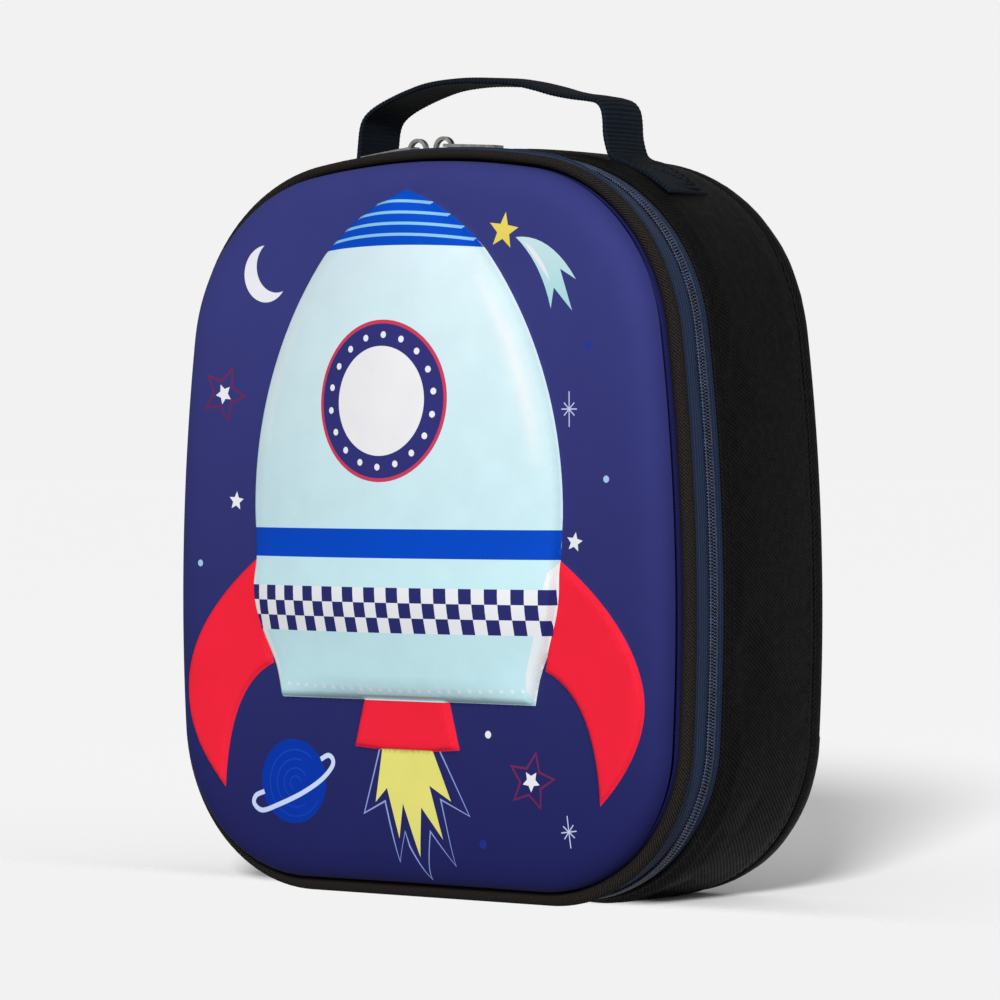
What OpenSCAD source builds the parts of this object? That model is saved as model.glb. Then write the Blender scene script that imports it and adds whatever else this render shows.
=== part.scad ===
// Child's insulated lunch bag: moulded front lid on a fabric hinge, two-way coil zip, webbing handle.
// Millimetres. +X is the bag's left-to-right, the front faces -Y, +Z is up.
// The origin is the middle of the model's footprint, on the surface that the bag stands on.

/* [Bag] */
// Width across the front seam
seam_w = 217; // [213:1:223]
// Height of the front seam outline
seam_h = 250; // [246:1:256]
// Depth from the front seam to the back face
body_d = 83.5; // [78:0.5:110]
// How far the body swells outside the seam outline
bulge = 3.5; // [3:0.5:5]

/* [Outline] */
// Radius of the crowned top edge
top_r = 300; // [270:5:360]
// Radius of the two side edges
side_r = 730; // [650:10:850]
// Height at which the sides are widest
side_z = 95; // [88:1:102]
// Radius of the two shoulders
shoulder_r = 66; // [58:1:70]
// Radius of the two bottom corners
corner_r = 55; // [48:1:60]

/* [Front panel] */
// How far the panel stands proud of the seam
panel_h = 10; // [8:0.5:12]
// Thickness of the moulded foam
shell_t = 4; // [3:0.5:5]
// How far the edge of the rocket's fuselage stands proud of the panel
relief_h = 3; // [2:0.5:4]
// How far the rocket's belly swells out past that edge
belly_h = 12; // [8:0.5:13]

/* [Zip] */
// Depth of the zip's centre line behind the seam
zip_y = 15.2; // [15:0.1:17]
// Width of one side of the coil
coil_w = 1.55; // [1.2:0.05:1.6]
// Gap between the two coils, where the slider's post runs
coil_gap = 1.0; // [1:0.1:1.4]
// Length of a slider
slider_l = 10; // [9:0.5:10.5]
// Width of a slider
slider_w = 8; // [7.5:0.5:8.5]
// Length of a pull tab from its pin
pull_l = 22; // [16:1:24]

/* [Handle] */
// Width of the webbing
web_w = 22; // [20:1:25]
// Thickness of the doubled webbing
web_t = 2.2; // [1.8:0.2:2.6]
// Half the span of the arch
arch_a = 57; // [56:0.5:58]
// Height of the arch over its feet
arch_h = 28; // [24:1:34]

/* [Hidden] */
$fn = 32;

half_w = seam_w / 2;
front_y = -panel_h - relief_h - belly_h;    // foremost point, seen from the seam
seam_y = -(body_d + front_y) / 2;           // where the seam plane lies in the bag's frame
eps = 0.01;

// Radii about the piping, tape and coil, counted outwards from the seam outline
piping_r = 2.4;
piping_core_r = 1.5;
piping_out = 0.9;
piping_y = 2.6;
tape_in = 0.2;
tape_out = 1.0;
coil_out = 2.4;
lid_tape_y = [5.2, zip_y - 0.7];
body_tape_y = [zip_y + 0.7, 26];
lid_coil_y = [zip_y - coil_gap / 2 - coil_w, zip_y - coil_gap / 2];
body_coil_y = [zip_y + coil_gap / 2, zip_y + coil_gap / 2 + coil_w];
coil_end_x = 58;                            // the zip stops here; the hinge lies between
hinge_half = 52;

// The rocket: height of its fattest point and half its width there
belly_z = 150;
rocket_w = 66;

// The layers, counted outwards from the seam outline
gusset_y = [21.3, body_d - 11];
gusset_in = 1.1;
foam_out = 0.6;
foam_in = -4;
liner_t = 0.8;
tray_out = -8.2;                            // the lid's liner: its wall, and its flat bottom
tray_y = -3;
lid_bound_y = [5.2, 9];                     // the binding round the lid's seam
lid_bound_in = -3.4;
back_in_y = body_d - 2.5;                   // inner face of the back panel's fabric
back_foam_t = 4;
flat_y = 31;                                // from here back the gusset is level

// The handle stands over the middle of the body
web_y = [31, 31 + web_w];
arch_n = 3.2;                               // exponent of the arch's superellipse
fold_cut = 42;                              // slope of the cut that lets the arch fold

// Sliders: place along the top arc, counted from the middle
slider_left_x = -15;
slider_right_x = -3.7;
plate_t = 1;
plate_o = 2.8;                              // underside of the top plate
under_o = [-1.2, -0.3];                     // the bottom plate
post_t = 0.5;
crown_r = 4.2;
crown_in = 3;
crown_w = 1.8;
pin_r = 0.55;
pin_x = 1.9;
pin_z = 0.95;
pull_droop = 4;
pull_t = 1.1;
pull_w = 5.2;
eye_w = 3;
eye_l = 3.8;

// Centres and end angles of the outline's arcs
side_c = [half_w - side_r, side_z];
top_c = [0, seam_h - top_r];
corner_c = [side_c[0] + sqrt(pow(side_r - corner_r, 2) - pow(side_z - corner_r, 2)), corner_r];
shoulder_c = meet(top_c, top_r - shoulder_r, side_c, side_r - shoulder_r);
side_a0 = bearing(corner_c - side_c);
side_a1 = bearing(shoulder_c - side_c);
top_a0 = bearing(shoulder_c - top_c);

function bearing(v) = atan2(v[1], v[0]);

// Upper right crossing of two circles
function meet(c1, r1, c2, r2) =
    let (d = c2 - c1, l = norm(d), a = (r1 * r1 - r2 * r2 + l * l) / (2 * l),
         h = sqrt(max(r1 * r1 - a * a, 0)), u = d / l)
    c1 + a * u + h * [u[1], -u[0]];

// Points of an arc without its first point
function arc(c, r, a0, a1, n) =
    [for (i = [1:n]) let (a = a0 + (a1 - a0) * i / n) c + r * [cos(a), sin(a)]];

// Right half of the outline, o millimetres outside the seam, from the base to the crown
function half_outline(o) = concat(
    [[corner_c[0], -o]],
    arc(corner_c, corner_r + o, -90, side_a0, 8),
    arc(side_c, side_r + o, side_a0, side_a1, 6),
    arc(shoulder_c, shoulder_r + o, side_a1, top_a0, 8),
    arc(top_c, top_r + o, top_a0, 90, 4));

function mirrored(p) = [for (i = [len(p) - 1:-1:0]) [-p[i][0], p[i][1]]];

function outline(o) =
    let (h = half_outline(o)) concat(h, mirrored([for (i = [0:len(h) - 2]) h[i]]));

// Points of a quadratic curve without its last point
function bend(p0, p1, p2, n) =
    [for (i = [0:n - 1]) let (t = i / n)
        (1 - t) * (1 - t) * p0 + 2 * t * (1 - t) * p1 + t * t * p2];

// Half of a superellipse, from one foot over the crown to the other
function arch_line(a, h) =
    [for (i = [0:28]) let (t = 180 * i / 28)
        [a * sign(cos(t)) * pow(abs(cos(t)), 2 / arch_n), h * pow(abs(sin(t)), 2 / arch_n)]];

module at_seam() {
    translate([0, seam_y, bulge]) children();
}

// Extrudes a drawing in the XZ plane from depth y0 to depth y1
module along_y(y0, y1) {
    translate([0, y1, 0]) rotate([90, 0, 0]) linear_extrude(y1 - y0) children();
}

module slab(o, y0, y1) {
    along_y(y0, y1) polygon(outline(o));
}

module ring(oo, oi, y0, y1) {
    along_y(y0, y1) difference() {
        polygon(outline(oo));
        polygon(outline(oi));
    }
}

// Thin slices of the outline, one for each [offset, depth], joined by a hull
module loft(profile) {
    hull() for (p = profile) slab(p[0], p[1], p[1] + eps);
}

// The frame of a point on the top arc, o millimetres outside the seam
module on_top(x, o) {
    translate([0, 0, top_c[1]]) rotate([0, asin(x / top_r), 0]) translate([0, 0, top_r + o]) children();
}

// ---- lid ----

module dome(inset, drop) {
    loft([
        [-1.6 - inset, 4 + drop], [-1.6 - inset, -0.5 + drop], [-2.1 - inset, -panel_h * 0.4 + drop],
        [-3.4 - inset, -panel_h * 0.7 + drop], [-6 - inset, -panel_h * 0.88 + drop],
        [-12 - inset, -panel_h * 0.97 + drop], [-30 - inset, -panel_h + drop]
    ]);
}

module fuselage() {
    side = concat(bend([57, 64.5], [63, 92], [67, 118], 4), arc([-68, 130], 135, 0, 41, 8), [[0, 238]]);
    polygon(concat(side, mirrored([for (i = [0:len(side) - 2]) side[i]])));
}

// The fuselage's edge, and slices of its outline that shrink towards its fattest point
module belly(inset) {
    edge_y = -panel_h - relief_h + inset;
    hull() for (slice = [[0, 1], [0.3, 0.84], [0.6, 0.63], [0.87, 0.36], [1, 0.12]])
        along_y(edge_y - belly_h * slice[0], edge_y - belly_h * slice[0] + eps)
            shrunk((1 - inset / rocket_w) * slice[1]);
    along_y(edge_y, -panel_h + inset + 1) shrunk(1 - inset / rocket_w);
}

// The fuselage drawn at a share of its size, about its fattest point
module shrunk(share) {
    translate([0, belly_z]) scale(share) translate([0, -belly_z]) fuselage();
}

module fin() {
    polygon(concat(bend([66, 113], [124, 72], [82, 32], 10), bend([82, 32], [80, 70], [57, 77], 8)));
}

module front_panel() color("#33367a") at_seam() {
    difference() {
        union() {
            dome(0, 0);
            belly(0);
            along_y(-panel_h - relief_h * 0.6, -panel_h * 0.5) {
                fin();
                mirror([1, 0]) fin();
            }
            along_y(-panel_h - relief_h * 0.8, -panel_h + 1)
                polygon([[-22.5, 48], [22.5, 48], [18, 66], [-18, 66]]);
        }
        dome(shell_t, shell_t);
        belly(shell_t);
    }
}

// A round cord of radius r along the seam: one ring of points for each corner of its section
module cord_loop(r) {
    sides = 10;
    rings = [for (k = [0:sides - 1]) let (a = 360 * k / sides)
        [for (p = outline(piping_out + r * cos(a))) [p[0], piping_y + r * sin(a), p[1]]]];
    m = len(rings[0]);
    polyhedron(
        [for (ring = rings) each ring],
        [for (k = [0:sides - 1], i = [0:m - 1])
            let (k2 = (k + 1) % sides, i2 = (i + 1) % m) [k * m + i, k * m + i2, k2 * m + i2, k2 * m + i]]);
}

module front_piping() color("#26262a") at_seam() difference() {
    cord_loop(piping_r);
    cord_loop(piping_core_r + 0.05);
}

module piping_filler() color("#d8d8d2") at_seam() cord_loop(piping_core_r);

module lid_zip_tape() color("#1b2b52") at_seam() {
    ring(tape_out, tape_in, lid_tape_y[0], lid_tape_y[1]);
}

// A coil's envelope, open along the straight base where the hinge is
module coil(y) {
    difference() {
        ring(coil_out, tape_out + 0.05, y[0], y[1]);
        translate([-coil_end_x, 0, -20]) cube([2 * coil_end_x, zip_y + 20, 60]);
    }
}

// One stop at each end of a coil
module stops(y) {
    for (s = [-1, 1])
        translate([s * (coil_end_x - 1.6) - 1.2, y[0], -2.55]) cube([2.4, y[1] - y[0], 1.5]);
}

module lid_coil() color("#223056") at_seam() coil(lid_coil_y);
module lid_zip_stops() color("#8b8d93") at_seam() stops(lid_coil_y);

// A shallow tray inside the moulded panel, with a flange that the binding catches
module lid_liner() color("#c9ccd1") at_seam() difference() {
    union() {
        slab(tray_out, tray_y, lid_bound_y[1]);
        ring(lid_bound_in - 0.1, tray_out - liner_t / 2, lid_bound_y[1] - liner_t, lid_bound_y[1]);
    }
    slab(tray_out - liner_t, tray_y + liner_t, lid_bound_y[1] + 1);
}

module lid_binding() color("#1e1e22") at_seam() ring(0.1, lid_bound_in, lid_bound_y[0], lid_bound_y[1]);

// ---- body ----

module gusset() color("#141416") at_seam() difference() {
    loft([[2.2, gusset_y[0]], [3, 25], [bulge, flat_y], [bulge, gusset_y[1] - eps]]);
    slab(gusset_in, gusset_y[0] - 1, gusset_y[1] + 1);
}

module back_panel() color("#141416") at_seam() difference() {
    loft([[bulge, gusset_y[1] + 0.1], [bulge - 0.5, body_d - 7.5], [bulge - 3, body_d - 3.5],
          [bulge - 7.5, body_d - 0.9], [bulge - 15, body_d - eps]]);
    slab(-3, gusset_y[1], back_in_y);
}

module gusset_foam() color("#e8e8e6") at_seam() ring(foam_out, foam_in, flat_y, gusset_y[1]);
module back_foam() color("#e8e8e6") at_seam() slab(-3.2, back_in_y - 0.1 - back_foam_t, back_in_y - 0.1);

module gusset_liner() color("#c9ccd1") at_seam()
    ring(foam_in - 0.1, foam_in - 0.1 - liner_t, 20, back_in_y - back_foam_t - 1.1);

module back_liner() color("#c9ccd1") at_seam()
    slab(foam_in - 0.1, back_in_y - back_foam_t - 1, back_in_y - back_foam_t - 0.2);

module body_zip_tape() color("#1b2b52") at_seam() ring(tape_out, tape_in, body_tape_y[0], body_tape_y[1]);
module body_coil() color("#223056") at_seam() coil(body_coil_y);
module body_zip_stops() color("#8b8d93") at_seam() stops(body_coil_y);
module body_binding() color("#1e1e22") at_seam() ring(0.1, foam_in, 26.2, flat_y - 0.1);

module back_binding() color("#1e1e22") at_seam()
    ring(foam_in - 0.2 - liner_t, foam_in - 1.6 - liner_t, gusset_y[1] - 4, gusset_y[1] + 1);

module hinge_strip() color("#1b2b52") at_seam()
    translate([-hinge_half, zip_y - 0.3, -0.1]) cube([2 * hinge_half, 26 - zip_y, 0.9]);

// ---- handle ----

// Both shoulders, x millimetres from the middle
module shoulder_bands(x0, x1) {
    for (s = [-1, 1]) translate([s * (x0 + x1) / 2, body_d / 2, seam_h])
        cube([x1 - x0, body_d, 80], center = true);
}

module handle_feet() color("#151a2b") at_seam() intersection() {
    ring(bulge + 0.05 + web_t, bulge + 0.05, web_y[0], web_y[1]);
    shoulder_bands(54, 80);
}

module handle_bar_tacks() color("#10131f") at_seam() intersection() {
    ring(bulge + web_t + 0.6, bulge + web_t + 0.1, web_y[0] + 3, web_y[1] - 3);
    union() {
        shoulder_bands(63, 65);
        shoulder_bands(75, 77);
    }
}

module handle_patches() color("#1e1e22") at_seam() intersection() {
    ring(gusset_in - 0.05, foam_out + 0.05, web_y[0] + 1, web_y[1] - 1);
    shoulder_bands(52, 82);
}

// Foot level of the arch: just clear of the feet's outer face
arch_z = shoulder_c[1] + sqrt(pow(shoulder_r + bulge + web_t + 0.3, 2)
                              - pow(arch_a - web_t - shoulder_c[0], 2));
arch_mid = (web_y[0] + web_y[1]) / 2;

module handle_arch() color("#10131f") at_seam() translate([0, 0, arch_z]) difference() {
    along_y(web_y[0], web_y[1]) difference() {
        polygon(arch_line(arch_a, arch_h));
        polygon(concat(arch_line(arch_a - web_t, arch_h - web_t), [[-arch_a + web_t, -1], [arch_a - web_t, -1]]));
    }
    for (s = [-1, 1]) translate([-seam_w, arch_mid, 0]) rotate([s * fold_cut, 0, 0])
        translate([0, s > 0 ? 0 : -60, -60]) cube([2 * seam_w, 60, 60]);
}

// ---- sliders; drawn with the nose towards +X, the zip's centre line on the X axis ----

module slider_body() {
    l = slider_l / 2;
    w = slider_w / 2;
    translate([0, 0, plate_o]) linear_extrude(plate_t)
        polygon([[-l, -w + 1.6], [-l + 1.4, -w + 0.6], [l - 3, -w], [l - 0.8, -w + 0.8], [l, -w + 2.4],
                 [l, w - 2.4], [l - 0.8, w - 0.8], [l - 3, w], [-l + 1.4, w - 0.6], [-l, w - 1.6]]);
    translate([-l + 0.5, -w + 0.8, under_o[0]]) cube([slider_l - 1, slider_w - 1.6, under_o[1] - under_o[0]]);
    translate([l - 3.4, -post_t / 2, under_o[1] - eps]) cube([2.4, post_t, plate_o - under_o[1] + 2 * eps]);
    translate([-l + 1.6, w - 1.3, tape_out + 0.5]) cube([slider_l - 5, 0.6, plate_o - tape_out - 0.5 + eps]);
}

module crown() {
    translate([0, 0, plate_o + plate_t]) intersection() {
        translate([-10, -crown_w / 2, 0]) cube([20, crown_w, 10]);
        translate([0, crown_w / 2, 0]) rotate([90, 0, 0]) linear_extrude(crown_w) difference() {
            circle(crown_r, $fn = 48);
            circle(crown_in, $fn = 48);
        }
    }
}

// The pull tab lies over the tail of its slider
module pull() {
    translate([-pin_x, 0, plate_o + plate_t + pin_z]) rotate([0, -pull_droop, 0]) {
        rotate([90, 0, 0]) cylinder(r = pin_r, h = pull_w, center = true);
        difference() {
            translate([-pull_l, -pull_w / 2, -pull_t / 2]) cube([pull_l, pull_w, pull_t]);
            translate([-eye_l, -eye_w / 2, -2]) cube([eye_l + 1, eye_w, 4]);
            translate([-pull_l + 2.6, 0, -2]) cylinder(r = 1.2, h = 4);
        }
        translate([-0.4, -eye_w / 2, -pin_r * 0.7]) cube([0.8, eye_w, pin_r * 1.4]);
    }
}

module left_zip() at_seam() translate([0, zip_y, 0]) on_top(slider_left_x, 0) children();
module right_zip() at_seam() translate([0, zip_y, 0]) on_top(slider_right_x, 0)
    mirror([1, 0, 0]) children();

module slider_left() color("#b9bbc0") left_zip() slider_body();
module crown_left() color("#c9cbd0") left_zip() crown();
module pull_left() color("#a9abb0") left_zip() pull();
module slider_right() color("#b9bbc0") right_zip() slider_body();
module crown_right() color("#c9cbd0") right_zip() crown();
module pull_right() color("#a9abb0") right_zip() pull();

front_panel();
front_piping();
piping_filler();
lid_zip_tape();
lid_coil();
lid_zip_stops();
lid_liner();
lid_binding();
gusset();
back_panel();
gusset_foam();
back_foam();
gusset_liner();
back_liner();
body_zip_tape();
body_coil();
body_zip_stops();
body_binding();
back_binding();
hinge_strip();
handle_feet();
handle_bar_tacks();
handle_patches();
handle_arch();
slider_left();
crown_left();
pull_left();
slider_right();
crown_right();
pull_right();
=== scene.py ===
# %% [markdown]
# # A child's insulated lunch bag
#
# The bag is a moulded foam lid with a printed rocket, a soft body of black woven polyester, a coil zip
# between them and a folded webbing handle. The imported parts give every place and size, and each cell
# below makes one sewn or moulded piece around them. The zip's sliders, the lid and the handle move, so
# the pieces sewn to the lid or the body ride on it; the webbing and the hinge strips are built in place
# and ride on neither.

# %% Load the parts
import math

import bmesh
import bpy
import numpy as np
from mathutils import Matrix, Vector
from mathutils.geometry import delaunay_2d_cdt
from mathutils.kdtree import KDTree


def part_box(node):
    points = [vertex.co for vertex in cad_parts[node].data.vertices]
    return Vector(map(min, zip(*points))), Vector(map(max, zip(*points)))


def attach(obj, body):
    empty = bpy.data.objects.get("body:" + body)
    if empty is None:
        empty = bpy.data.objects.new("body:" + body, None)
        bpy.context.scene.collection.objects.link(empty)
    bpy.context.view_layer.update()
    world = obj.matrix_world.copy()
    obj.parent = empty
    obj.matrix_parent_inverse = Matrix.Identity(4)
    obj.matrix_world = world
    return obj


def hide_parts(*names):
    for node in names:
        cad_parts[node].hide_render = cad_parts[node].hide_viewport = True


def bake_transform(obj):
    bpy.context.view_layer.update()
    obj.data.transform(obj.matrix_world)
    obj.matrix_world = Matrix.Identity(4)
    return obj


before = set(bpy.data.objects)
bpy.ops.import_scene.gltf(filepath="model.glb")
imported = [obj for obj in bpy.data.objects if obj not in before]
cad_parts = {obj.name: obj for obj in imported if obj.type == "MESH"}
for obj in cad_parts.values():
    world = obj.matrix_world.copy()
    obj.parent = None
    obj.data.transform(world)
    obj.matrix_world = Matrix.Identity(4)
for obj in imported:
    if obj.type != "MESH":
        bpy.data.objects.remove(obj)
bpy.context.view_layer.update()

# %% [markdown]
# ## The seam is the ruler
#
# On a real bag everything is cut and sewn to one line: the seam round the lid. Here too. The outline is
# four arcs a side, and a point of any layer is a point of the seam moved outwards by an offset and
# backwards by a depth. Offsets and depths are in millimetres, because that is how a bag is cut.

# %% The seam outline
MM = 0.001
BULGE = 3.5                      # how far the body swells outside the seam
PIPING_R, PIPING_OUT, PIPING_Y = 2.4, 0.9, 2.6
piping_low, piping_high = (1000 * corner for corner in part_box("front_piping"))
HALF_W = piping_high.x - PIPING_OUT - PIPING_R
SEAM_H = piping_high.z - piping_low.z - 2 * (PIPING_OUT + PIPING_R)
SEAM_Y = (piping_low.y + piping_high.y) / 2 - PIPING_Y
BASE_Z = 1000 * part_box("gusset")[0].z + BULGE
TOP_R, SIDE_R, SIDE_Z, SHOULDER_R, CORNER_R = 300, 730, 95, 66, 55


def circles_meet(c1, r1, c2, r2):
    """The upper right crossing of two circles."""
    d = c2 - c1
    length = np.hypot(*d)
    a = (r1 * r1 - r2 * r2 + length * length) / (2 * length)
    h = math.sqrt(max(r1 * r1 - a * a, 0))
    u = d / length
    return c1 + a * u + h * np.array((u[1], -u[0]))


side_c = np.array((HALF_W - SIDE_R, SIDE_Z))
top_c = np.array((0, SEAM_H - TOP_R))
corner_x = side_c[0] + math.sqrt((SIDE_R - CORNER_R) ** 2 - (SIDE_Z - CORNER_R) ** 2)
corner_c = np.array((corner_x, CORNER_R))
shoulder_c = circles_meet(top_c, TOP_R - SHOULDER_R, side_c, SIDE_R - SHOULDER_R)


def bearing(v):
    return math.atan2(v[1], v[0])


def half_seam(step):
    """Points and outward normals of the right half, from the middle of the base to the crown."""
    count = max(2, round(corner_x / step))
    points = [np.array((corner_x * i / count, 0.0)) for i in range(count)]
    normals = [np.array((0.0, -1.0))] * count
    a0, a1 = bearing(corner_c - side_c), bearing(shoulder_c - side_c)
    a2 = bearing(shoulder_c - top_c)
    arcs = [(corner_c, CORNER_R, -math.pi / 2, a0), (side_c, SIDE_R, a0, a1),
            (shoulder_c, SHOULDER_R, a1, a2), (top_c, TOP_R, a2, math.pi / 2)]
    for c, r, start, end in arcs:
        count = max(2, round(r * (end - start) / step))
        for i in range(count):
            a = start + (end - start) * i / count
            n = np.array((math.cos(a), math.sin(a)))
            points.append(c + r * n)
            normals.append(n)
    points.append(np.array((0.0, SEAM_H)))
    normals.append(np.array((0.0, 1.0)))
    return np.array(points), np.array(normals)


def seam(step):
    """Points, normals and run along the whole seam, counted from the middle of the base."""
    p, n = half_seam(step)
    mirror = np.array((-1.0, 1.0))
    p = np.vstack((p, (p * mirror)[-2:0:-1]))
    n = np.vstack((n, (n * mirror)[-2:0:-1]))
    run = np.concatenate(([0], np.cumsum(np.hypot(*np.diff(np.vstack((p, p[:1])), axis=0).T))))
    return p, n, run[:-1], run[-1]


FINE = seam(0.5)
SEAM_LENGTH = FINE[3]
print(f"seam {SEAM_LENGTH:.0f} mm round, {2 * HALF_W:.0f} wide, {SEAM_H:.0f} high")


def at_run(run):
    """Point and normal of the seam at distances along it."""
    run = np.mod(run, SEAM_LENGTH)
    knots = np.append(FINE[2], SEAM_LENGTH)
    p = np.vstack((FINE[0], FINE[0][:1]))
    n = np.vstack((FINE[1], FINE[1][:1]))
    point = np.stack([np.interp(run, knots, p[:, i]) for i in (0, 1)], -1)
    normal = np.stack([np.interp(run, knots, n[:, i]) for i in (0, 1)], -1)
    return point, normal / np.linalg.norm(normal, axis=-1, keepdims=True)


def metres(points):
    """From millimetres in the seam's frame to metres in the bag's frame."""
    return (np.asarray(points, float) + (0, SEAM_Y, BASE_Z)) * MM


# %% [markdown]
# ## Mesh helpers
#
# Three tools make nearly every piece: one turns points and faces into an object with a UV map in
# millimetres, one carries a section round the seam, and one closes a loop with even triangles. The UV
# map matters because a weave or a twist has to follow the cloth, not the room.

# %% Build pieces from points
def make_piece(name, points, faces, materials, uv=None, smooth=True, recalc=True):
    """An object from millimetre points. uv holds one pair of millimetres per face corner."""
    mesh = bpy.data.meshes.new(name)
    mesh.from_pydata(metres(points).tolist(), [], faces)
    for material in materials:
        mesh.materials.append(material)
    if uv is not None:
        layer = mesh.uv_layers.new(name="cut")
        layer.data.foreach_set("uv", np.asarray(uv, np.float32).ravel())
    if recalc:
        bm = bmesh.new()
        bm.from_mesh(mesh)
        bmesh.ops.remove_doubles(bm, verts=bm.verts, dist=1e-7)
        bmesh.ops.recalc_face_normals(bm, faces=bm.faces)
        bm.to_mesh(mesh)
        bm.free()
    mesh.polygons.foreach_set("use_smooth", [smooth] * len(mesh.polygons))
    mesh.update()
    piece = bpy.data.objects.new(name, mesh)
    bpy.context.scene.collection.objects.link(piece)
    return piece


def finish_piece(piece, body, slot_name, *nodes):
    """Rides the piece on its body and hides the parts it stands for. slot_name is not used."""
    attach(piece, body)
    if nodes:
        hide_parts(*nodes)
    print(piece.name, len(piece.data.polygons), "faces on", body)
    return piece


def band(out_low, out_high, y_low, y_high, round_by=0.3, steps=3):
    """A closed section with rounded corners, as [offset, depth] points."""
    points = []
    corners = [(out_high, y_low, -90), (out_high, y_high, 0), (out_low, y_high, 90), (out_low, y_low, 180)]
    for o, y, start in corners:
        o_c = o - round_by if o == out_high else o + round_by
        y_c = y + round_by if y == y_low else y - round_by
        for i in range(steps + 1):
            a = math.radians(start + 90 * i / steps)
            points.append((o_c + round_by * math.cos(a), y_c + round_by * math.sin(a)))
    return points


def densify(section, longest):
    """Adds points to a closed section until no side is longer than longest."""
    out = []
    for (o0, y0), (o1, y1) in zip(section, section[1:] + section[:1]):
        count = max(1, math.ceil(math.hypot(o1 - o0, y1 - y0) / longest))
        out += [(o0 + (o1 - o0) * i / count, y0 + (y1 - y0) * i / count) for i in range(count)]
    return out


def swept(name, sections, material, step=1.6, shift=None, closed=True):
    """Carries sections of [offset, depth] points round the seam. A section that runs the other way
    round is a hole's wall, and one that isn't closed leaves an open sheet."""
    p, n, run, total = seam(step)
    k = len(run)
    points, faces, uv, base = [], [], [], 0
    for section in sections:
        sec = np.array(section, float)
        m = len(sec)
        offsets = np.repeat(sec[None, :, 0], k, 0)
        depths = np.repeat(sec[None, :, 1], k, 0)
        if shift is not None:
            d_out, d_deep = shift(run[:, None], np.arange(m)[None, :], sec)
            offsets, depths = offsets + d_out, depths + d_deep
        x = p[:, None, 0] + n[:, None, 0] * offsets
        z = p[:, None, 1] + n[:, None, 1] * offsets
        points.append(np.stack((x, depths, z), -1).reshape(-1, 3))
        girth = np.concatenate(([0], np.cumsum(np.hypot(*np.diff(np.vstack((sec, sec[:1])), axis=0).T))))
        for i in range(k):
            i2 = (i + 1) % k
            u0, u1 = run[i], run[i2] if i2 else total
            for j in range(m if closed else m - 1):
                j2 = (j + 1) % m
                faces.append(tuple(base + v for v in (i * m + j, i * m + j2, i2 * m + j2, i2 * m + j)))
                uv += [(u0, girth[j]), (u0, girth[j + 1]), (u1, girth[j + 1]), (u1, girth[j])]
        base += k * m
    return make_piece(name, np.vstack(points), faces, [material], uv, recalc=False)


def loop_cap(loop, spacing):
    """Even triangles inside a closed loop of plan points. Returns points and triangles."""
    loop = np.asarray(loop, float)
    low, high = loop.min(0), loop.max(0)
    grid = []
    for row, z in enumerate(np.arange(low[1] + spacing / 2, high[1], spacing * 0.866)):
        for x in np.arange(low[0] + spacing * (0.25 + 0.5 * (row % 2)), high[0], spacing):
            grid.append((x, z))
    grid = np.array(grid)
    keep = inside(grid, loop) & (away_from(grid, loop) > spacing * 0.5)
    points = np.vstack((loop, grid[keep]))
    edges = [(i, (i + 1) % len(loop)) for i in range(len(loop))]
    out = delaunay_2d_cdt([Vector(p) for p in points.tolist()], edges, [], 1, 1e-6)
    return np.array([tuple(v) for v in out[0]]), [tuple(f) for f in out[2]]


def inside(points, loop):
    """True for each plan point that lies inside a closed loop."""
    points, loop = np.asarray(points, float), np.asarray(loop, float)
    low, high = loop.min(0), loop.max(0)
    near = np.all((points >= low) & (points <= high), axis=1)
    result = np.zeros(len(points), bool)
    q = points[near]
    hit = np.zeros(len(q), bool)
    for a, b in zip(loop, np.roll(loop, -1, 0)):
        if a[1] == b[1]:
            continue
        crosses = (a[1] > q[:, 1]) != (b[1] > q[:, 1])
        at = a[0] + (q[:, 1] - a[1]) * (b[0] - a[0]) / (b[1] - a[1])
        hit ^= crosses & (q[:, 0] < at)
    result[near] = hit
    return result


def away_from(points, loop):
    """Distance of each plan point from a closed loop's nearest side."""
    points, loop = np.asarray(points, float), np.asarray(loop, float)
    best = np.full(len(points), 1e9)
    for a, b in zip(loop, np.roll(loop, -1, 0)):
        d = b - a
        length = max(d @ d, 1e-12)
        t = np.clip(((points - a) @ d) / length, 0, 1)
        best = np.minimum(best, np.linalg.norm(points - a - t[:, None] * d, axis=1))
    return best


# %% [markdown]
# ## Materials
#
# Each finish starts from what the maker buys: printed polyester over foam, 600-denier woven polyester,
# polypropylene webbing, nylon coil, nickel-plated zinc. Cloth here is never one flat colour: the weave
# lifts and lowers the surface, and a slow noise makes some yarns a shade lighter. The patterns read the
# cut's own UV map, which is in millimetres, so a thread spacing is typed in as it would be measured.

# %% Node helpers
def colour(hex_code):
    """Linear RGBA from an sRGB hex code."""
    rgb = [int(hex_code[i:i + 2], 16) / 255 for i in (1, 3, 5)]
    return (*[v / 12.92 if v <= 0.04045 else ((v + 0.055) / 1.055) ** 2.4 for v in rgb], 1.0)


def add(tree, kind, settings=None, links=None):
    """Adds one node, with its settings and its input values or links."""
    node = tree.nodes.new(kind)
    for key, value in (settings or {}).items():
        setattr(node, key, value)
    for key, value in (links or {}).items():
        socket = node.inputs[key]
        if isinstance(value, bpy.types.NodeSocket):
            tree.links.new(value, socket)
        else:
            socket.default_value = value
    return node


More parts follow.
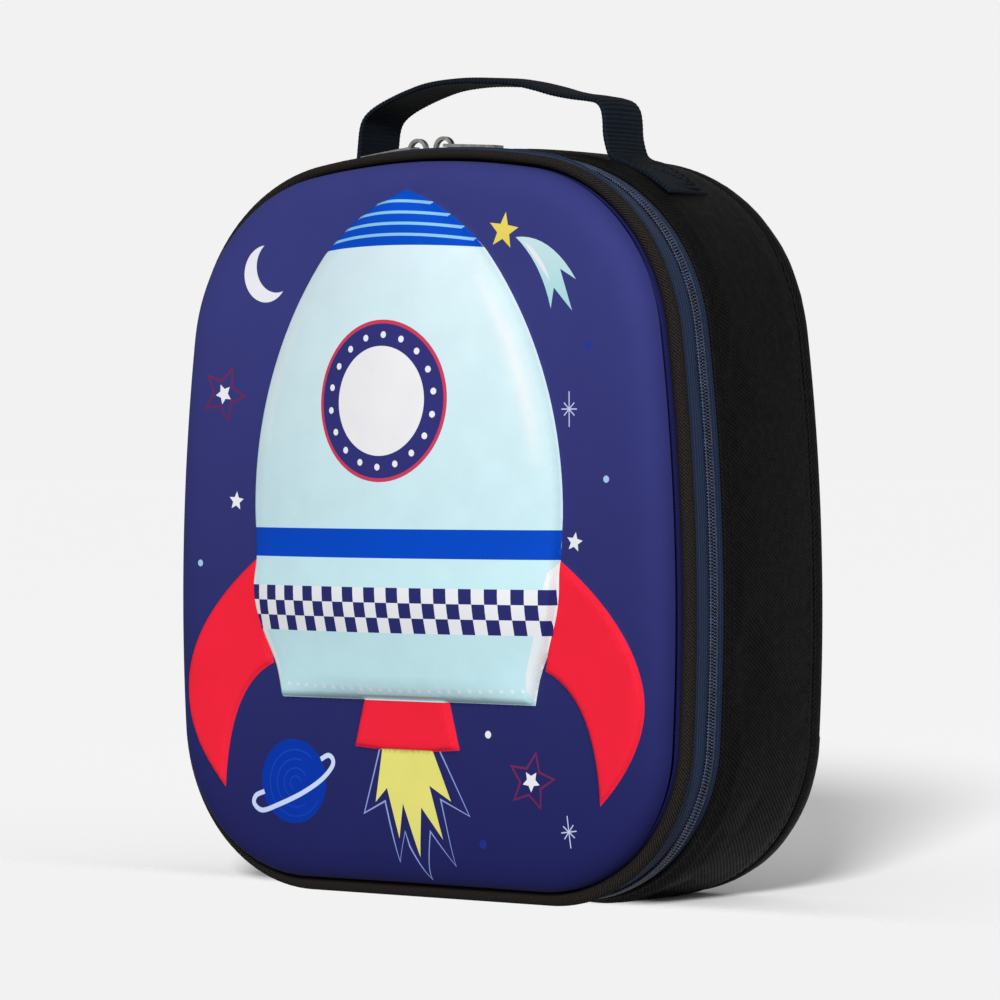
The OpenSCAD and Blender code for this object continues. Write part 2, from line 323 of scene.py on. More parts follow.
def new_material(name, base, roughness, metallic=0.0, ior=1.5, sheen=0.0, coat=0.0, specular=0.5):
    """A material with its principled shader set and returned."""
    material = bpy.data.materials.new(name)
    material.use_nodes = True
    shader = material.node_tree.nodes["Principled BSDF"]
    constants = {"Base Color": colour(base), "Roughness": roughness, "Metallic": metallic, "IOR": ior,
                 "Sheen Weight": sheen, "Sheen Roughness": 0.4, "Coat Weight": coat,
                 "Specular IOR Level": specular}
    for socket, value in constants.items():
        shader.inputs[socket].default_value = value
    material.diffuse_color = colour(base)
    return material, material.node_tree, shader


def wear(tree, shader, grain, dark, light, low=0.0, high=1.0, depth_mm=0.0, strength=1.0):
    """Colours a finish from dark to light by its grain, and raises the grain by a depth."""
    span = add(tree, "ShaderNodeMapRange", {}, {"Value": grain, "From Min": low, "From Max": high})
    ramp = add(tree, "ShaderNodeMix", {"data_type": "RGBA"},
               {0: span.outputs[0], 6: colour(dark), 7: colour(light)})
    tree.links.new(ramp.outputs[2], shader.inputs["Base Color"])
    if depth_mm:
        bump = add(tree, "ShaderNodeBump", {}, {"Height": grain, "Distance": depth_mm * MM,
                                                "Strength": strength})
        tree.links.new(bump.outputs["Normal"], shader.inputs["Normal"])


def speckled(name, base, roughness, scale, detail, ramp, distortion=0.0, **finish):
    """A finish that drifts in soft spots, scale of them to a metre. Returns the spots too."""
    material, tree, shader = new_material(name, base, roughness, **finish)
    place = add(tree, "ShaderNodeTexCoord").outputs["Object"]
    spots = add(tree, "ShaderNodeTexNoise", {}, {"Vector": place, "Scale": scale, "Detail": detail,
                                                 "Distortion": distortion})
    wear(tree, shader, spots.outputs["Fac"], *ramp)
    return material, tree, shader, spots.outputs["Fac"]


def cloth(name, base, roughness, **finish):
    """A cloth's material, with its own millimetres together, along and across."""
    material, tree, shader = new_material(name, base, roughness, **finish)
    uv = add(tree, "ShaderNodeUVMap", {"uv_map": "cut"}).outputs["UV"]
    parts = add(tree, "ShaderNodeSeparateXYZ", {}, {"Vector": uv})
    return material, tree, shader, uv, parts.outputs["X"], parts.outputs["Y"]


def ridges(tree, run, pitch, side=None, lean=0.0):
    """Ridges of -1 to 1 that cross a run. With a side and a lean they slant."""
    if side is not None:
        run = add(tree, "ShaderNodeMath", {"operation": "MULTIPLY_ADD"},
                  {0: side, 1: lean, 2: run}).outputs[0]
    turns = add(tree, "ShaderNodeMath", {"operation": "MULTIPLY"}, {0: run, 1: 2 * math.pi / pitch})
    return add(tree, "ShaderNodeMath", {"operation": "SINE"}, {0: turns.outputs[0]}).outputs[0]


def uneven(tree, uv, scale, detail, *patterns):
    """Yarn of uneven thickness, with patterns of given shares on top."""
    grain = add(tree, "ShaderNodeTexNoise", {},
                {"Vector": uv, "Scale": scale, "Detail": detail}).outputs["Fac"]
    for pattern, share in patterns:
        grain = add(tree, "ShaderNodeMath", {"operation": "MULTIPLY_ADD"},
                    {0: pattern, 1: share, 2: grain}).outputs[0]
    return grain


# %% Woven and moulded finishes
# Polyester jersey laminated to foam and printed: dull ink with a fine knit grain. The inks' hex values
# are what a bright studio shows, so the cloth's own colour is six tenths of them.
PRINT_KNIT = 1.1                 # the real loops are 0.4 mm; drawn coarser so that they show
INK_LOW, INK_HIGH = 0.585, 0.615
printed_front, tree, shader = new_material("printed_jersey_on_foam", "#33367A", 0.72, specular=0.05)
# The ink attribute holds the print and the painted highlights on the rocket's flanks
ink = add(tree, "ShaderNodeAttribute", {"attribute_name": "ink"}).outputs["Color"]
place = add(tree, "ShaderNodeTexCoord").outputs["Object"]
mottle = add(tree, "ShaderNodeTexNoise", {}, {"Vector": place, "Scale": 90.0, "Detail": 4.0})
value = add(tree, "ShaderNodeMapRange", {}, {"Value": mottle.outputs["Fac"], "From Min": 0.3,
                                             "From Max": 0.7, "To Min": INK_LOW, "To Max": INK_HIGH})
tint = add(tree, "ShaderNodeHueSaturation", {}, {"Color": ink, "Value": value.outputs[0]})
tree.links.new(tint.outputs["Color"], shader.inputs["Base Color"])
parts = add(tree, "ShaderNodeSeparateXYZ", {}, {"Vector": place})
courses, wales = (ridges(tree, parts.outputs[axis], PRINT_KNIT * MM) for axis in ("Z", "X"))
knit = add(tree, "ShaderNodeMath", {"operation": "MULTIPLY"}, {0: wales, 1: courses})
bump = add(tree, "ShaderNodeBump", {}, {"Height": knit.outputs[0], "Distance": 0.05 * MM, "Strength": 0.4})
tree.links.new(bump.outputs["Normal"], shader.inputs["Normal"])

# Cotton twill cut on the bias and sewn round a cord: diagonal lines, lint-grey where it rubs.
TWILL_PITCH = 1.2
piping_twill, tree, shader, uv, along, across = cloth("bias_twill", "#1C1B1A", 0.9, specular=0.08)
rub = uneven(tree, uv, 1.4, 5.0, (ridges(tree, along, TWILL_PITCH, across, 1.0), 0.28))
wear(tree, shader, rub, "#080706", "#2B2724", 0.25, 0.95, 0.16)

# Knitted polyester zip tape: fine cords along it, a soft blue sheen.
TAPE_CORD = 1.3                  # lengthwise cords woven into the tape
tape_knit, tree, shader, uv, along, across = cloth("zip_tape_polyester", "#1B2B52", 0.65, sheen=0.03,
                                                   specular=0.15)
knit = uneven(tree, uv, 0.9, 6.0, (ridges(tree, across, TAPE_CORD), 0.5),
              (ridges(tree, along, 1.0, across, 0.5), 0.35))
wear(tree, shader, knit, "#060F20", "#172C4C", -0.2, 1.3, 0.12)

# Extruded nylon coil: glossy, a lighter navy than the tape.
coil_nylon = speckled("coil_nylon", "#2A3A5E", 0.32, 260.0, 2.0, ("#0A1226", "#1D2C4C", 0.35, 0.7),
                      ior=1.53)[0]

# 600-denier polyester, coated on the back: black, a slanting grain, a dull shine on the ridges.
DENIER_PITCH = 1.5               # the real threads are 0.5 mm apart; drawn coarser so that they show
body_weave, tree, shader, uv, along, across = cloth("polyester_600_denier", "#0B0B0B", 0.7, specular=0.06)
grain = uneven(tree, uv, 0.35, 7.0, (ridges(tree, along, DENIER_PITCH, across, 0.8), 0.35))
wear(tree, shader, grain, "#020202", "#11100F", 0.2, 0.95, 0.14)
rough = add(tree, "ShaderNodeMapRange", {}, {"Value": grain, "From Min": 0.2, "From Max": 1.0,
                                             "To Min": 0.72, "To Max": 0.5})
tree.links.new(rough.outputs[0], shader.inputs["Roughness"])

# Grosgrain edge binding: close black ribs across the tape.
binding_tape, tree, shader, uv, along, across = cloth("grosgrain_binding", "#121213", 0.8, specular=0.1)
wear(tree, shader, ridges(tree, along, 0.9), "#060606", "#141415", -1.0, 1.0, 0.1)

# Polypropylene webbing: dark navy and nearly dull, with a rib at every pick.
WEB_RIB = 1.5                    # pick spacing; the real one is about 1 mm
webbing_pp, tree, shader, uv, along, across = cloth("polypropylene_webbing", "#0A0E16", 0.7, specular=0.08)
grain = uneven(tree, uv, 0.8, 5.0, (ridges(tree, along, WEB_RIB), 0.3))
wear(tree, shader, grain, "#030508", "#0F1823", 0.1, 0.9, 0.06)

# Silver-grey PEVA film, heat-sealed: slightly glossy, with soft creases.
liner_peva = speckled("peva_film", "#9A9EA4", 0.42, 60.0, 5.0, ("#93979D", "#A5A9AF", 0.3, 0.7, 0.9, 0.5),
                      distortion=0.6, coat=0.05, specular=0.4)[0]

# Closed-cell polyethylene foam: white, matt, finely pitted.
foam_white, tree, shader = new_material("polyethylene_foam", "#E8E8E4", 0.9)
place = add(tree, "ShaderNodeTexCoord").outputs["Object"]
cells = add(tree, "ShaderNodeTexVoronoi", {}, {"Vector": place, "Scale": 700.0})
wear(tree, shader, cells.outputs["Distance"], "#D6D6D0", "#F2F2EE", 0.0, 0.8, 0.2)

# Bonded nylon thread: dark, with a small gloss and a visible twist.
thread_nylon, tree, shader = new_material("bonded_nylon_thread", "#06070A", 0.6, specular=0.1)
place = add(tree, "ShaderNodeTexCoord").outputs["Object"]
twist = add(tree, "ShaderNodeTexWave", {"bands_direction": "DIAGONAL"}, {"Vector": place, "Scale": 900.0})
wear(tree, shader, twist.outputs["Fac"], "#020203", "#0A0B0E")

# The coil's sewing thread, coloured a lighter slate blue as a painted highlight on the outer ends of the
# coil's turns, so that it beads along the zip.
coil_thread_highlight = speckled("coil_thread_painted_highlight", "#465266", 0.6, 420.0, 3.0, ("#222C3D", "#465266", 0.35, 0.65),
                       specular=0.2)[0]

# Needle-punched felt behind the stitches of the handle: charcoal, with no grain.
patch_felt = speckled("needled_felt", "#2A2A2C", 0.95, 900.0, 6.0, ("#1C1C1E", "#3A3A3D", 0.3, 0.7))[0]

# Die-cast zinc, barrel-plated with nickel: warm grey metal, tumbled soft.
nickel, tree, shader, tumbled = speckled("nickel_plated_zinc", "#B4B2AC", 0.27, 520.0, 5.0,
                                         ("#9A9892", "#CFCDC8", 0.3, 0.7, 0.03, 0.5), metallic=1.0)
polish = add(tree, "ShaderNodeMapRange", {}, {"Value": tumbled, "To Min": 0.18, "To Max": 0.42})
tree.links.new(polish.outputs[0], shader.inputs["Roughness"])

# Pressed aluminium stops: duller and greyer than the sliders.
stop_metal = speckled("pressed_aluminium", "#8B8D93", 0.42, 800.0, 3.0, ("#75777D", "#A3A5AA", 0.3, 0.7),
                      metallic=1.0)[0]
print("materials", len(bpy.data.materials))

# %% [markdown]
# ## The printed front
#
# A sheet of foam with printed jersey glued on is pressed hot into a mould. The rocket's belly stands
# proud in a smooth curve, its fins and nozzle a little. It is built the way the artwork is laid out:
# every motif is a closed outline in millimetres, a constrained triangulation follows all of them, and
# one height function presses the flat sheet into shape. So ink edges are real mesh edges, and stay
# sharp from any side.

# %% Artwork outlines
def bend(p0, p1, p2, count):
    """Points of a quadratic curve without the last."""
    t = np.arange(count)[:, None] / count
    return (1 - t) ** 2 * np.array(p0) + 2 * t * (1 - t) * np.array(p1) + t * t * np.array(p2)


def arc_points(centre, radius, a0, a1, count):
    a = np.radians(a0 + (a1 - a0) * (np.arange(count) + 1) / count)
    return np.array(centre) + radius * np.stack((np.cos(a), np.sin(a)), -1)


def mirrored(points):
    return (np.asarray(points) * (-1, 1))[::-1]


def disc(centre, radius, count=40, squash=1.0):
    a = 2 * np.pi * np.arange(count) / count
    return np.array(centre) + radius * np.stack((np.cos(a) * squash, np.sin(a)), -1)


def star(centre, radius, tip_angle, waist=0.42, points=5):
    a = np.radians(tip_angle) + np.pi * np.arange(2 * points) / points
    r = np.where(np.arange(2 * points) % 2 == 0, radius, radius * waist)
    return np.array(centre) + r[:, None] * np.stack((np.cos(a), np.sin(a)), -1)


def smooth_line(points, per=8):
    """A Catmull-Rom curve through points."""
    p = np.asarray(points, float)
    p = np.vstack((2 * p[0] - p[1], p, 2 * p[-1] - p[-2]))
    out = []
    for a, b, c, d in zip(p, p[1:], p[2:], p[3:]):
        for t in np.arange(per) / per:
            out.append(0.5 * (2 * b + (c - a) * t + (2 * a - 5 * b + 4 * c - d) * t * t
                              + (3 * b - a - 3 * c + d) * t ** 3))
    return np.vstack((out, p[-2:-1]))


def stroke(points, width, closed=False):
    """The outline of a pen line. A closed line gives two outlines."""
    p = np.asarray(points, float)
    before = np.roll(p, 1, 0) if closed else np.vstack((2 * p[0] - p[1], p[:-1]))
    after = np.roll(p, -1, 0) if closed else np.vstack((p[1:], 2 * p[-1] - p[-2]))
    d1 = (p - before) / np.linalg.norm(p - before, axis=1, keepdims=True)
    d2 = (after - p) / np.linalg.norm(after - p, axis=1, keepdims=True)
    n1, n2 = np.stack((-d1[:, 1], d1[:, 0]), -1), np.stack((-d2[:, 1], d2[:, 0]), -1)
    mitre = n1 + n2
    scale = np.clip(2 / np.maximum((mitre ** 2).sum(1), 1e-6), 0, 2.2)
    side = mitre * scale[:, None] * width / 2
    if closed:
        return [p + side, p - side]
    return [np.vstack((p + side, (p - side)[::-1]))]


hip = smooth_line([(55.2, 64.5), (57.6, 75), (62.2, 85), (65.3, 95), (66.4, 104), (66.0, 112),
                   (66.6, 121)], 3)
fuselage_side = np.vstack((hip[:-1], arc_points((-68, 130), 135, -3, 40, 22),
                           bend((34.4, 217.8), (18, 233.5), (0, 238.3), 10), [(0, 238.3)]))
FUSELAGE = np.vstack((fuselage_side, mirrored(fuselage_side[:-1])))
fin_line = np.vstack((bend((66, 113), (124, 72), (82, 32), 26),
                      bend((82, 32), (80, 70), (57, 77), 18)))
FINS = [fin_line, mirrored(fin_line)]
NOZZLE = np.array([(-18, 66.5), (-22.8, 48.4), (-12, 47.6), (0, 47.3), (12, 47.6), (22.8, 48.4),
                   (18, 66.5)])
flank_z = np.linspace(64.5, 238, 80)
flank_x = np.interp(flank_z, fuselage_side[:, 1], fuselage_side[:, 0])


def across_rocket(z_low, z_high, inset=0.0):
    """The part of the fuselage between two heights."""
    z = np.linspace(z_low, z_high, 10)
    x = np.interp(z, flank_z, flank_x) - inset
    side = np.stack((x, z), -1)
    return np.vstack((side, mirrored(side)))


NAVY_INK, WHITE, COBALT = "#2B2E70", "#F1F3F8", "#004AC8"
RED, CREAM, LINE_BLUE, SKY = "#F9243C", "#EDE77C", "#8FCBF5", "#93A6E0"
art = []                         # painted in order


def paint(outlines, high, low=None):
    """A motif's outlines and its ink, which may turn into another one downwards."""
    art.append((outlines, high, low or high))


paint([FINS[0]], RED)
paint([FINS[1]], RED)
paint([NOZZLE], RED)
flame = np.array([(-11, 48), (-14, 29.5), (-9, 34.5), (-3.5, 17.5), (-2, 29.5), (5.5, 11.5), (6, 28.5),
                  (15.5, 18), (9.5, 36), (19, 31), (11, 48)])
licks = np.array([(-12.2, 47.6), (-19, 25.5), (-9.8, 30), (-7.5, 22), (-3.6, 9.5), (-1, 20), (1, 15),
                  (8.5, 4), (10, 20.5), (20.7, 9.2), (14.5, 31.5), (27, 26.4), (14.2, 47.8)])
paint(stroke(licks, 0.6), SKY)
paint([flame], CREAM, "#E4E07A")
paint([FUSELAGE], "#DFF3F9", "#C8EFF7")

# A white strip along the lower flanks, where the moulded wall turns: partly the print's white, partly a
# painted highlight
HIP_LOW, HIP_HIGH, HIP_EDGE = 66, 112.5, 5.0
z = np.linspace(HIP_LOW, HIP_HIGH, 14)
x = np.interp(z, flank_z, flank_x)
taper = HIP_EDGE * np.sin(np.pi * (z - HIP_LOW) / (HIP_HIGH - HIP_LOW)) ** 0.5
strip = np.vstack((np.stack((x, z), -1), np.stack((x - taper, z), -1)[::-1]))
paint([strip], "#F4F8FA", "#E6F1F5")
paint([mirrored(strip)], "#F4F8FA", "#E6F1F5")
nose_z = 218.0
nose_side = fuselage_side[fuselage_side[:, 1] > nose_z]
nose_x = float(np.interp(nose_z, flank_z, flank_x))
nose_base = bend((-nose_x, nose_z), (0, nose_z + 2.4), (nose_x, nose_z), 16)
NOSE = np.vstack((nose_base, [(nose_x, nose_z)], nose_side, mirrored(nose_side[:-1])))
paint([NOSE], "#0052D2", "#004CC8")
for z, rise in ((233.5, 0.9), (229.2, 1.3), (224.9, 1.8), (220.7, 2.2)):
    half = float(np.interp(z, flank_z, flank_x)) - 0.4
    line = np.vstack((bend((-half, z), (0, z + 2 * rise), (half, z), 14), [(half, z)]))
    paint(stroke(line, 1.0), LINE_BLUE)
paint([across_rocket(113.3, 123.2)], COBALT)

# Checks are printed flat, so that they keep their width along the belly's curve
ROW, CHECK, ROW_TOP = 5.15, 4.93, 103.4
BELLY_CURVE = 0.0022
paint([across_rocket(ROW_TOP - 3 * ROW, ROW_TOP)], WHITE)


def unroll(s):
    return s - 2 / 3 * BELLY_CURVE ** 2 * s ** 3


for row in range(3):
    z = ROW_TOP - row * ROW
    check_limit = float(np.interp(z - ROW / 2, flank_z, flank_x)) - 0.1
    for i in range(-8, 8):
        start = (i + 0.27 + 0.5 * (row % 2)) * 2 * CHECK
        left, right = (float(np.clip(unroll(v), -check_limit, check_limit))
                       for v in (start, start + CHECK))
        if right - left > 0.5:
            paint([np.array([(left, z - ROW), (right, z - ROW), (right, z), (left, z)])], NAVY_INK)
for i in range(-12, 13):
    dash = np.array((4.25 * i + 1.6, 68.3 + 0.0004 * (4.25 * i) ** 2))
    paint([disc(dash, 0.62, 10, 1.35)], "#EAF7FA")

PORTHOLE = (0, 166.5)
for radius, hex_code in ((27.5, "#D2405E"), (26.2, "#33347A"), (18.6, "#F4F4F6")):
    paint([disc(PORTHOLE, radius, 72)], hex_code)
for i in range(18):
    a = math.radians(20 * i + 8)
    rivet = (PORTHOLE[0] + 22.4 * math.cos(a), PORTHOLE[1] + 22.4 * math.sin(a))
    paint([disc(rivet, 1.15, 14)], "#F2F4FA")


def crescent(c1, r1, c2, r2):
    """What a disc leaves when another is taken from it."""
    outer, inner = disc(c1, r1, 90), disc(c2, r2, 90)
    keep = np.linalg.norm(outer - c2, axis=1) > r2
    first = int(np.argmax(keep & ~np.roll(keep, 1)))
    outer = np.roll(outer, -first, 0)[:int(keep.sum())]
    cut = np.linalg.norm(inner - c1, axis=1) < r1
    first = int(np.argmax(cut & ~np.roll(cut, 1)))
    inner = np.roll(inner, -first, 0)[:int(cut.sum())]
    return np.vstack((outer, inner[::-1]))


paint([crescent((-62.3, 211.2), 9.9, (-57.4, 213.8), 9.2)], WHITE)
paint([star((42.4, 223.2), 6.4, 81)], "#F4DF6A", "#F0DA5E")
comet = np.vstack((bend((47.6, 221), (62, 222), (72.8, 206.4), 10), [(72.8, 206.4)], [(66.2, 210)],
                   [(71.2, 196)], [(63.6, 203.8)], [(62.3, 196.8)],
                   bend((62.3, 196.8), (58.5, 212), (47.6, 221), 9)[1:]))
paint([comet], "#D2EEF2", "#A9DFE6")
gleam = np.vstack((bend((51, 219.6), (59, 215), (62, 206), 8), bend((62, 206), (56, 213), (51, 219.6), 8)))
paint([gleam], "#F2F6F8", "#EAF4F6")


def sparkle(centre, tall, wide, lean):
    """Eight pen lines through one point."""
    lines = []
    for i in range(4):
        length = (wide, 0.95 * wide, tall, 0.95 * wide)[i]
        a = math.radians(45 * i + lean)
        d = np.array((math.cos(a), math.sin(a))) * length
        lines += stroke([np.array(centre) - d, np.array(centre) + d], 0.42)
    return lines


for centre, tall, wide, lean in (((69.8, 163.4), 5.9, 3.2, 0), ((69, 23), 5.4, 3.2, 8)):
    for line in sparkle(centre, tall, wide, lean):
        paint([line], "#C9D2F6")
for centre, radius, tip in (((-76.4, 132.2), 3.4, 84), ((71.8, 119.3), 3.4, 80)):
    paint([star(centre, radius, tip, 0.46)], WHITE)
for centre, tip in (((-82, 169.6), 66), ((53.2, 39.2), 78)):
    paint(stroke(star(centre, 9.6, tip, 0.48), 0.8, closed=True), "#7C2A55", "#6E2452")
    paint([star(centre, 3.7, tip - 24, 0.5)], WHITE)
for centre, radius, hex_code in (((-93.4, 110.3), 1.2, "#A9CFF0"), ((85, 140.2), 1.2, "#A9CFF0"),
                                 ((35, 54.2), 1.3, WHITE), ((78, 184.2), 1.6, "#2C3994"),
                                 ((32.8, 17.2), 1.6, "#24308A")):
    paint([disc(centre, radius, 16)], hex_code)
PLANET = np.array((-50.7, 35.2))
paint([disc(PLANET, 14.6, 56)], "#0336AC", "#0334A6")
for radius, start, end in ((11.6, 40, 330), (8.4, 60, 300), (5.2, 20, 290), (2.4, 0, 250)):
    swirl = arc_points(PLANET + (0.8, -0.6), radius, start, end, 24)
    paint(stroke(swirl, 0.55), "#1246BC", "#0E40B4")
orbit = smooth_line([(-64.1, 31.1), (-68, 29.5), (-68.8, 26.7), (-65.1, 24.5), (-58.1, 26.6), (-47.3, 31),
                     (-38.5, 36), (-33.6, 40.6), (-33.1, 43.4), (-35.2, 44.7), (-38.5, 43.2)], 5)
paint(stroke(orbit, 1.7), "#D3E2FF", "#C9DAFC")
print("motifs", len(art))

# %% Press the sheet into shape
PANEL_H, CROWN_H, RELIEF_H, BELLY_H = 9.6, 1.2, 2.8, 11.8
FIN_H, NOZZLE_H = 1.5, 1.8
HIP_H, HIP_Z, HIP_WIDE = 2.2, 99, 13
EDGE_WIDE = 30                   # the panel's rounded edge reaches this far in
RIM = 1.65                       # the panel starts this far inside the seam
fine_loop = FINE[0]


def seam_depth(points):
    """How far plan points lie inside the seam."""
    out = np.empty(len(points))
    for i in range(0, len(points), 4000):
        part = points[i:i + 4000]
        gaps = ((part[:, None, :] - fine_loop[None, ::2, :]) ** 2).sum(-1)
        out[i:i + 4000] = np.sqrt(gaps.min(1))
    return out


def rise(distance, width):
    """A rounded step from 0 to 1 over a width."""
    t = np.clip(distance / width, 0, 1)
    return np.sqrt(1 - (1 - t) ** 2) * 0.6 + 0.4 * t * t * (3 - 2 * t)


def signed(points, loop):
    d = away_from(points, loop)
    return np.where(inside(points, loop), d, -d)


def front_height(points):
    """How far the pressed sheet stands in front of the seam."""
    d = seam_depth(points) - RIM
    u = np.clip(d / EDGE_WIDE, 0, 1)
    crown = CROWN_H * np.clip((points[:, 1] - 40) / 160, 0, 1)
    height = (PANEL_H + crown) * (1 - (1 - u) ** 6.5) ** 0.45
    body = signed(points, FUSELAGE)
    half = np.maximum(np.interp(points[:, 1], flank_z, flank_x), 1.0)
    along = np.clip((points[:, 1] - 60) / 182, 0, 1)
    swell = np.sin(np.pi * along ** 0.92) ** 0.6
    belly = BELLY_H * swell * np.clip(1 - (points[:, 0] / half) ** 2, 0, 1)
    fins = np.maximum(signed(points, FINS[0]), signed(points, FINS[1]))
    small = np.maximum(FIN_H * rise(fins, 1.8), NOZZLE_H * rise(signed(points, NOZZLE), 1.6))
    hips = HIP_H * np.exp(-((points[:, 1] - HIP_Z) / HIP_WIDE) ** 2)
    return height + np.maximum(small, rise(body, 2.4) * (RELIEF_H + hips + belly * rise(body, 7)))


def resample(loop, step):
    """Even points round a closed loop that keep its corners."""
    out = []
    for a, b in zip(loop, np.roll(loop, -1, 0)):
        count = max(1, round(float(np.linalg.norm(b - a)) / step))
        out += [a + (b - a) * i / count for i in range(count)]
    return np.array(out)


def inset_loop(loop, distance):
    """A loop moved inwards along its mitred normals."""
    before, after = loop - np.roll(loop, 1, 0), np.roll(loop, -1, 0) - loop
    n = [np.stack((-v[:, 1], v[:, 0]), -1) / np.maximum(np.linalg.norm(v, axis=1, keepdims=True), 1e-9)
         for v in (before, after)]
    mitre = n[0] + n[1]
    area = np.sum(loop[:, 0] * np.roll(loop[:, 1], -1) - loop[:, 1] * np.roll(loop[:, 0], -1))
    side = mitre / np.maximum((mitre ** 2).sum(1, keepdims=True) / 2, 0.35)
    return loop + side * distance * np.sign(area)


p, n = seam(2.0)[:2]
rim_loops = [p - n * (RIM + d) for d in (0, 0.35, 0.9, 1.7, 2.8, 4.2, 6.0, 8.2, 11)]
HULL_STEPS = ((0, 2.0), (0.5, 2.0), (1.1, 2.0), (1.8, 2.2), (2.7, 2.4), (4.5, 3.0))
SMALL_STEPS = ((0, 1.6), (0.8, 2.0), (1.8, 2.4))
relief_loops = []
for loop, steps in ((FUSELAGE, HULL_STEPS), *((small, SMALL_STEPS) for small in (*FINS, NOZZLE))):
    relief_loops += [resample(inset_loop(loop, inset), spacing) for inset, spacing in steps]
outlines = rim_loops + relief_loops
for loops, _, _ in art:
    outlines += [resample(loop, 2.4) for loop in loops]
rim = rim_loops[0]
constraint_points = np.vstack(outlines)
edges, start = [], 0
for loop in outlines:
    edges += [(start + i, start + (i + 1) % len(loop)) for i in range(len(loop))]
    start += len(loop)
near = KDTree(len(constraint_points))
for i, q in enumerate(constraint_points):
    near.insert((q[0], q[1], 0), i)
near.balance()
GRID = 2.1
grid = []
for row, z in enumerate(np.arange(2.5, SEAM_H, GRID * 0.866)):
    for x in np.arange(-HALF_W + GRID / 2 * (row % 2), HALF_W, GRID):
        if near.find((x, z, 0))[2] > 0.95:
            grid.append((x, z))
grid = np.array(grid)
grid = grid[inside(grid, rim)]
plan = np.vstack((constraint_points, grid))
out = delaunay_2d_cdt([Vector(q) for q in plan.tolist()], edges, [], 0, 1e-4)
plan = np.array([tuple(v) for v in out[0]])
triangles = np.array(out[2])
middles = plan[triangles].mean(1)
keep = inside(middles, rim)
triangles, middles = triangles[keep], middles[keep]
print("front sheet", len(plan), "points", len(triangles), "triangles")


def lerp_hex(high, low, share):
    a, b = np.array(colour(high)), np.array(colour(low))
    return a * (1 - share)[:, None] + b * share[:, None]


# Where the painted highlight on the rocket's upper flanks lies
GLEAM_LOW, GLEAM_HIGH, GLEAM_FADE, GLEAM_IN, GLEAM_WIDE = 140, 216, 24, 6.5, 2.6

# Ink: the ground is a shade darker towards the base, and each motif is painted over what is under it
ground = np.clip((200 - plan[:, 1]) / 190, 0, 1)
corner_ink_and_highlight = lerp_hex("#3A3D80", "#20235E", ground)[triangles]
for loops, high, low in art:
    hit = np.zeros(len(middles), bool)
    for loop in loops:
        hit ^= inside(middles, loop)
    z_all = np.vstack(loops)[:, 1]
    share = np.clip((z_all.max() - plan[:, 1]) / max(np.ptp(z_all), 1), 0, 1)
    corner_ink_and_highlight[hit] = lerp_hex(high, low, share)[triangles[hit]]
    if loops[0] is FUSELAGE:
        # A painted highlight: the upper flanks are lightened a few millimetres inside their edge, less on
        # the left
        flank = np.interp(plan[:, 1], flank_z, flank_x) - np.abs(plan[:, 0])
        tall = np.clip(np.minimum(plan[:, 1] - GLEAM_LOW, GLEAM_HIGH - plan[:, 1]) / GLEAM_FADE, 0, 1)
        lit = 0.75 * tall * np.exp(-((flank - GLEAM_IN) / GLEAM_WIDE) ** 2)
        lit *= np.where(plan[:, 0] > 0, 1, 0.6)
        painted_gleam = np.array(colour("#F4F8F9"))
        glow = lit[triangles[hit]][..., None]
        corner_ink_and_highlight[hit] = corner_ink_and_highlight[hit] * (1 - glow) + painted_gleam * glow

height = front_height(plan)
front_points = np.stack((plan[:, 0], -height, plan[:, 1]), -1)

# The sheet's turned rim and its foam back, so that the piece is a closed shell
SHELL = 3.6
p, n = seam(2.0)[:2]
INNER = RIM + SHELL
rows = [(RIM, 0.0), (RIM, 2.0), (RIM, 4.0), (INNER, 4.0), (INNER, 0.5), (INNER + 1.2, -3.0),
        (INNER + 4, -4.8), (INNER + 10, -5.4)]
back = [np.stack(((p - n * d)[:, 0], np.full(len(p), y), (p - n * d)[:, 1]), -1) for d, y in rows]
cap_plan, cap_faces = loop_cap(back[-1][:, [0, 2]], 9)
base = len(front_points)
points = np.vstack((front_points, *back, np.stack((cap_plan[:, 0], np.full(len(cap_plan), rows[-1][1]),
                                                   cap_plan[:, 1]), -1)))
faces = [tuple(t) for t in triangles.tolist()]
m = len(p)
for r in range(len(rows) - 1):
    for i in range(m):
        i2 = (i + 1) % m
        faces.append((base + r * m + i, base + r * m + i2, base + (r + 1) * m + i2, base + (r + 1) * m + i))
top = base + len(rows) * m
faces += [tuple(top + v for v in f) for f in cap_faces]
front = make_piece("printed_front", points, faces, [printed_front], recalc=False)
ink_and_highlight_layer = front.data.color_attributes.new(name="ink", type="FLOAT_COLOR", domain="CORNER")
rim_ink = np.array(colour("#2A2D6C"))
unprinted = len(front.data.loops) - 3 * len(triangles)
all_ink_and_highlight = np.vstack((corner_ink_and_highlight.reshape(-1, 4), np.tile(rim_ink, (unprinted, 1))))
ink_and_highlight_layer.data.foreach_set("color", all_ink_and_highlight.astype(np.float32).ravel())
bm = bmesh.new()
bm.from_mesh(front.data)
bmesh.ops.remove_doubles(bm, verts=bm.verts, dist=2e-6)
bmesh.ops.recalc_face_normals(bm, faces=bm.faces)
bm.to_mesh(front.data)
bm.free()
# Narrow triangles along the ink lines would dent the shading, so the normals follow the large ones
even = front.modifiers.new("even_normals", "WEIGHTED_NORMAL")
even.mode = "FACE_AREA"
even.weight = 50
finish_piece(front, "lid", "printed_front", "front_panel")

